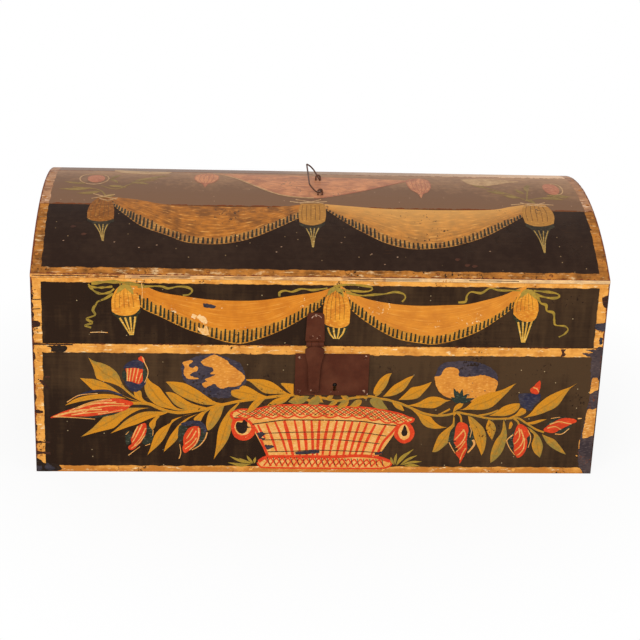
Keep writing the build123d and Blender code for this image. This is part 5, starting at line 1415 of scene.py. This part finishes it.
class CHEST_OT_chips(bpy.types.Operator):
    """Paints the larger chips, flakes and bare places"""
    bl_idname = "chest.chips"
    bl_label = "Chips"

    def execute(self, context):
        paints = context.scene.chest_paints
        navy = oil_paint("chip_dark_blue_paint", paints.blue, "#2A262C", "#4C4A56",
                         worn=0.5, under=paints.bare_edge)
        grey = oil_paint("grey_blue_border_paint", "#4E403E", "#352B2E",
                         "#6E605E", worn=0.6, under=paints.bare_edge)
        ground = oil_paint("dark_ground_in_chips", paints.ground, "#20160F", paints.ground_worn)
        wood = oil_paint("chip_brown_wood", "#4A2A1C", "#2A1812", "#7A4228", worn=0.4)
        straw = oil_paint("chip_straw_border", paints.border, paints.border_dirty, paints.border_pale,
                          worn=0.5)
        chalk = oil_paint("worn_drape_chalk", "#EDC48A", "#DFA050", "#FBE8C8", worn=0.9, under=paints.swag)
        fleck = oil_paint("pale_flecks", "#B89478", "#8E6C54", "#D8BCA0")
        edge = oil_paint("chalk_ground_on_worn_lid_edge", "#DE9C50", "#9A5C28",
                         "#F8DCA8", worn=0.5, under=paints.border_dirty, streaks=(560, 4),
                         contrast=2.0)
        for name, body, paint, layer, ragged, outlines, lines in (
                ("front_grey_border", "chest", grey, 0, 1.3, GREY_BORDER, ()),
                ("front_ground_chips", "chest", ground, 3, 1.0, GROUND_CHIPS, ()),
                ("front_navy_chips", "chest", navy, 4, 1.5, NAVY_CHIPS, ()),
                ("front_wood_chips", "chest", wood, 1, 0.8, WOOD_CHIPS, BODY_WOOD_LINES),
                ("front_straw_islands", "chest", straw, 1, 1.0, STRAW_ISLANDS, BODY_PALE_LINES),
                ("rail_navy_chips", "lid", navy, 3, 1.0, RAIL_NAVY_CHIPS, ()),
                ("rail_wood_chips", "lid", wood, 3, 0.8, RAIL_WOOD_CHIPS, RAIL_WOOD_LINES),
                ("rail_pale_marks", "lid", chalk, 4, 2.0, WORN_SWAG, RAIL_PALE_LINES),
                ("lid_edge_cracks", "lid", wood, 2, 0.0, (), EDGE_CRACKS)):
            marks = Painting(name, on_front)
            for outline in outlines:
                length = sum((Vector(a) - Vector(b)).length for a, b in zip(outline, outline[1:]))
                steps = max(24, min(int(length / CHIP_STEP), 160))
                marks.patch(outline, layer=layer, steps=steps, ragged=ragged)
            for width, *line in lines:
                marks.stroke(line, width, layer=layer + 1, along=24)
            marks.finish(body, paint)
        worn = Painting("worn_lid_edge", on_front)
        for start, end, tint in EDGE_PARTS:
            low, high = (smooth(((start, z), (end, z))) for z in (EDGE_FOOT, EDGE_HEAD))
            worn.between(low, high, 20, 2, layer=0, tint=tint)
        worn.finish("lid", edge)
        for name, paint, spots, size in (("dome_specks", fleck, DOME_SPECKS, 0.9),
                                         ("dome_blotches", wood, DOME_BLOTCHES, 3.0)):
            marks = Painting(name, on_dome)
            for x, y in spots:
                marks.leaf((x + size, y + 0.3 * size), (x - size, y), size, layer=1)
            marks.finish("lid", paint)
        return {"FINISHED"}


class CHEST_OT_boards(bpy.types.Operator):
    """Gives the boards of body and lid their painted and bare surfaces"""
    bl_idname = "chest.boards"
    bl_label = "Boards"

    def execute(self, context):
        paints = context.scene.chest_paints
        plain = (paints.border, paints.border_dirty, paints.border_pale)
        brown = (paints.dome_border, paints.dome_border_dark, "#CFA878")
        faded = ("#BA8761", "#7C523A", "#E2BC9C")
        skin = 0.5
        inner_x, inner_y = HALF_LENGTH - skin, HALF_DEPTH - skin
        front_bare = ((-inner_x, -inner_y, -FAR), (inner_x, FAR, FAR))
        back_bare = ((-inner_x, -FAR, -FAR), (inner_x, inner_y, FAR))
        ends_bare = ((-inner_x, -FAR, -FAR), (inner_x, FAR, FAR))
        whole = ((-FAR, -FAR, -FAR), (FAR, FAR, FAR))
        front_field = ((-270.5, -FAR, 7), (FAR, FAR, 128))
        rail_field = ((-270, -FAR, -FAR), (270, FAR, 200))
        end_field = ((-FAR, -150, 7), (FAR, 150, 128))
        arch_field = ((-FAR, -150, -FAR), (FAR, 150, FAR))
        dome_field = ((-270, -FAR, -FAR), (270, FAR, FAR))
        first_field = ((-270, -153.5, -FAR), (270, FAR, FAR))
        last_field = ((-270, -FAR, -FAR), (270, 151, FAR))
        arched = {"arch": DOME_RADIUS - 13}
        curved = {"arch": DOME_RADIUS - skin, "dome": True}
        rows = (
            ("front_board", front_field, front_bare, plain, {"worn": 0.5, "lighter": (0.5, 0.0, 2.0)}),
            ("lid_front_rail", rail_field, front_bare, plain, {"worn": 0.55, "lighter": (0.3, 0.0, 0.0)}),
            ("back_board", whole, back_bare, plain, {}),
            ("lid_back_rail", whole, back_bare, plain, {}),
            ("left_end_board", end_field, ends_bare, plain, {}),
            ("right_end_board", end_field, ends_bare, plain, {}),
            ("lid_left_end", arch_field, ends_bare, plain, arched),
            ("lid_right_end", arch_field, ends_bare, plain, arched),
            ("dome_front_plank", first_field, ends_bare, brown,
             {**curved, "tones": ("#291B14", "#38281E")}),
            # Top plank: faded paint, paler to the ridge, partly painted haze of light on the varnish
            ("dome_top_plank", dome_field, ends_bare, faded,
             {**curved, "worn": 0.15, "tones": ("#7A5A44", "#C8986E"), "lighter": (0.1, 3.4, 0.0),
              "clouds": 0.4}),
            # Back plank: pale warm tones, paler to the seam and right: partly painted sheen, partly wear
            ("dome_back_plank", dome_field, ends_bare, faded,
             {**curved, "worn": 0.4, "tones": ("#7E5E48", "#EEC096"), "lighter": (1.2, -1.0, 0.0),
              "clouds": 0.35, "specular": 0.2}),
            ("dome_back_strip", last_field, ends_bare, brown, {**curved, "tones": ("#3E2D22", "#6A4E3A")}),
        )
        for node, field, bare, strip, rest in rows:
            dress(node, painted_board("painted_" + node, node, *field, *bare, *strip, **rest))
        dress("bottom_board", bare_beech("bare_darkened_beech"))
        return {"FINISHED"}


PAINTED_IRON = ("lock_plate", "hasp_plate", "hasp", "hinge_lower_leaves", "hinge_upper_leaves")
RUSTED_IRON = ("hinge_lower_nails", "hinge_pins", "hinge_upper_nails", "hasp_staple", "bail_staples",
               "bail")
# Key post and bridge behind the keyhole: near black, painted shade of the keyhole
KEY_IRON_IN_PAINTED_SHADE = ("key_bridge", "key_post")
# Nail heads, pin and rivets on the sheet iron: small pale patches, partly rubbed iron, partly painted
# highlights
HANDLED_IRON_WITH_HIGHLIGHTS = ("lock_plate_nails", "hasp_plate_nails", "hasp_pin", "hasp_rivets")
FILED_IRON = ("lock_bolt", "bolt_guides", "lock_spring")
BODY_NAILS = ("corner_nails", "bottom_nails", "rail_nails")
DOME_NAILS = ("dome_end_nails", "dome_edge_nails")
# Rubbed places on the sheet iron, partly painted highlights where its edges and the hasp's pivot catch the
# light: width and line
PLATE_RUBS_AND_HIGHLIGHTS = (
    (1.2, (10.8, 89.3), (14.6, 88.2), (18.3, 89.4)), (1.0, (43.8, 127.6), (45.2, 126.8)),
    (1.1, (-21.6, 89.8), (-19.6, 90.2)), (0.9, (47.3, 87.9), (47.0, 86.2)),
)
HASP_RUBS_AND_HIGHLIGHTS = (
    (0.8, (-10.4, 166.6), (-8.6, 168.6), (-5.4, 169.6), (-2.4, 168.8), (-0.8, 167)),
    (0.9, (-11.6, 147.6), (-11.1, 145.6)), (0.7, (-8.9, 148.4), (-8.2, 147.6)),
    (1.0, (-2.1, 148.6), (-1.2, 147.5)), (0.8, (-4.6, 146.2), (-3.8, 145.2)),
)


def dress(node, material):
    """Gives a CAD node's object one material."""
    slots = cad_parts[node].data.materials
    slots.clear()
    slots.append(material)


class CHEST_OT_iron(bpy.types.Operator):
    """Gives lock, hasp, hinges, bail and nails their iron"""
    bl_idname = "chest.iron"
    bl_label = "Ironwork"

    def execute(self, context):
        paints = context.scene.chest_paints
        # Pale rubbed iron, standing in partly for highlights on the sheet iron
        rub_and_highlight = oil_paint("rubbed_iron_and_painted_highlights", "#C49C80", "#8A5E48",
                        "#E8CDB8", worn=0.6, under=paints.iron_paint, specular=0.3)
        for nodes, material in (
                (PAINTED_IRON, painted_iron("red_brown_painted_sheet_iron")),
                (RUSTED_IRON, rusted_iron("rusted_wrought_iron", "#38241A", paints.rust)),
                # Near black iron, as painted shade in the keyhole
                (KEY_IRON_IN_PAINTED_SHADE, rusted_iron("near_black_key_iron_as_shade", "#120E0B", "#241A14")),
                (FILED_IRON, filed_iron("filed_lock_iron")),
                # Pale patches: rubbed iron and painted highlights on the heads
                (HANDLED_IRON_WITH_HIGHLIGHTS, painted_nail("nails_under_iron_paint_with_painted_highlights", paints.iron_paint,
                                            paints.iron_paint, "#B08C74", 0.54)),
                (BODY_NAILS, painted_nail("nails_under_border_paint", paints.border, paints.ground,
                                          paints.bare_edge)),
                (DOME_NAILS, painted_nail("nails_under_dome_paint", paints.dome_border,
                                          paints.dome_border, paints.bare_edge))):
            for node in nodes:
                dress(node, material)
        for node, body, thickness, lines in (("lock_plate", "chest", LOCK_SHEET, PLATE_RUBS_AND_HIGHLIGHTS),
                                             ("hasp_plate", "lid", HASP_SHEET, HASP_RUBS_AND_HIGHLIGHTS)):
            rubs_and_highlights = Painting(node + "_rubs_and_highlights", on_sheet(thickness))
            for width, *line in lines:
                rubs_and_highlights.stroke(line, width, layer=0, along=10, taper=0.4)
            rubs_and_highlights.finish(body, rub_and_highlight, "russet_iron")
        return {"FINISHED"}


# Studio, in metres

WHITE = (1.0, 1.0, 1.0, 1.0)
MIDDLE = (0.0, -0.1, 0.12)
LAMP_WIDTH = 1.4
KEY_PLACE = (-1.1, -2.0, 1.9)
FILL_PLACE = (1.7, -1.5, 1.3)
# Floor: half its width, how far it lies below the chest, and where its shade fades to white
FLOOR_HALF = 12.0
FLOOR_DROP = 0.0003
SHADE_FROM, SHADE_TO = 0.3, 0.52


def lamp(name, place, power):
    """A soft square lamp at a place, turned to the middle of the chest."""
    data = bpy.data.lights.new(name, "AREA")
    data.shape = "SQUARE"
    data.size = LAMP_WIDTH
    data.energy = power
    thing = bpy.data.objects.new(name, data)
    thing.location = place
    thing.rotation_euler = (Vector(MIDDLE) - Vector(place)).to_track_quat("-Z", "Y").to_euler()
    bpy.context.scene.collection.objects.link(thing)


class CHEST_OT_stage(bpy.types.Operator):
    """Sets up the camera, the lamps, the white room and the floor"""
    bl_idname = "chest.stage"
    bl_label = "Stage"

    def execute(self, context):
        scene = context.scene
        studio = scene.chest_studio
        scene.view_settings.view_transform = "Standard"

        azimuth, elevation = studio.azimuth, studio.elevation
        back = Vector((math.sin(azimuth) * math.cos(elevation), -math.cos(azimuth) * math.cos(elevation),
                       math.sin(elevation)))
        right = (-back).cross(Vector((0, 0, 1))).normalized()
        up = right.cross(-back)
        turned = Matrix((right, up, back)).transposed().to_4x4() @ Matrix.Rotation(studio.roll, 4, "Z")
        data = bpy.data.cameras.new("camera")
        data.lens = studio.lens
        data.sensor_width = 36.0
        camera = bpy.data.objects.new("camera", data)
        camera.matrix_world = Matrix.Translation(studio.place) @ turned
        scene.collection.objects.link(camera)
        scene.camera = camera

        lamp("key_lamp", KEY_PLACE, studio.key_power)
        lamp("fill_lamp", FILL_PLACE, studio.fill_power)

        world = bpy.data.worlds.new("white_room")
        scene.world = world
        add = node_adder(world)
        path = add("LightPath", {}).node.outputs
        seen = add("Math", {0: path["Is Camera Ray"], 1: path["Is Glossy Ray"]}, operation="MAXIMUM")
        seen = add("Math", {0: seen, 1: path["Is Transmission Ray"]}, operation="MAXIMUM")
        strength = add("MapRange", {"Value": seen, "To Min": studio.ambient, "To Max": 1.0})
        light = add("Background", {"Color": WHITE, "Strength": strength})
        add("OutputWorld", {"Surface": light})

        material, add = new_material("matt_white_floor_paint")
        plain = add("BsdfDiffuse", {"Color": "#E6E4E2"})
        glow = add("Emission", {"Color": WHITE, "Strength": 1.0})
        path = add("LightPath", {}, "Is Camera Ray")
        place = add("TexCoord", {}, "Object")
        reach = add("VectorMath", {0: place}, "Value", operation="LENGTH")
        white = add("MapRange", {"Value": reach, "From Min": SHADE_FROM, "From Max": SHADE_TO,
                                 "To Min": 0.9})
        share = add("Math", {0: path, 1: white}, operation="MULTIPLY")
        both = add("MixShader", {0: share, 1: plain, 2: glow})
        add("OutputMaterial", {"Surface": both})
        mesh = bmesh.new()
        bmesh.ops.create_grid(mesh, x_segments=1, y_segments=1, size=FLOOR_HALF)
        bmesh.ops.translate(mesh, verts=mesh.verts, vec=(0, 0, -FLOOR_DROP))
        data = bpy.data.meshes.new("floor")
        mesh.to_mesh(data)
        mesh.free()
        data.materials.append(material)
        floor = bpy.data.objects.new("floor", data)
        scene.collection.objects.link(floor)
        return {"FINISHED"}


STEPS = (CHEST_OT_stage, CHEST_OT_boards, CHEST_OT_iron, CHEST_OT_garland, CHEST_OT_buds,
         CHEST_OT_flowers, CHEST_OT_basket, CHEST_OT_rail_swags, CHEST_OT_bows, CHEST_OT_dome_swags,
         CHEST_OT_crown, CHEST_OT_chips)


class CHEST_PT_panel(bpy.types.Panel):
    """Lists the steps that dress the chest, and what can be changed"""
    bl_idname = "CHEST_PT_panel"
    bl_label = "Wedding chest"
    bl_space_type = "VIEW_3D"
    bl_region_type = "UI"
    bl_category = "Chest"

    def draw(self, context):
        for step in STEPS:
            self.layout.operator(step.bl_idname)
        for group in (context.scene.chest_paints, context.scene.chest_sizes, context.scene.chest_studio):
            column = self.layout.column()
            for name in group.__annotations__:
                column.prop(group, name)


GROUPS = {"chest_paints": ChestPaints, "chest_sizes": ChestSizes, "chest_studio": ChestStudio}


def register():
    for cls in (*GROUPS.values(), *STEPS, CHEST_PT_panel):
        bpy.utils.register_class(cls)
    for name, group in GROUPS.items():
        setattr(bpy.types.Scene, name, bpy.props.PointerProperty(type=group))


def unregister():
    for name in GROUPS:
        delattr(bpy.types.Scene, name)
    for cls in reversed((*GROUPS.values(), *STEPS, CHEST_PT_panel)):
        bpy.utils.unregister_class(cls)


def main():
    register()
    for step in STEPS:
        getattr(bpy.ops.chest, step.bl_idname.split(".")[1])()
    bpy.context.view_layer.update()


if __name__ == "__main__":
    main()
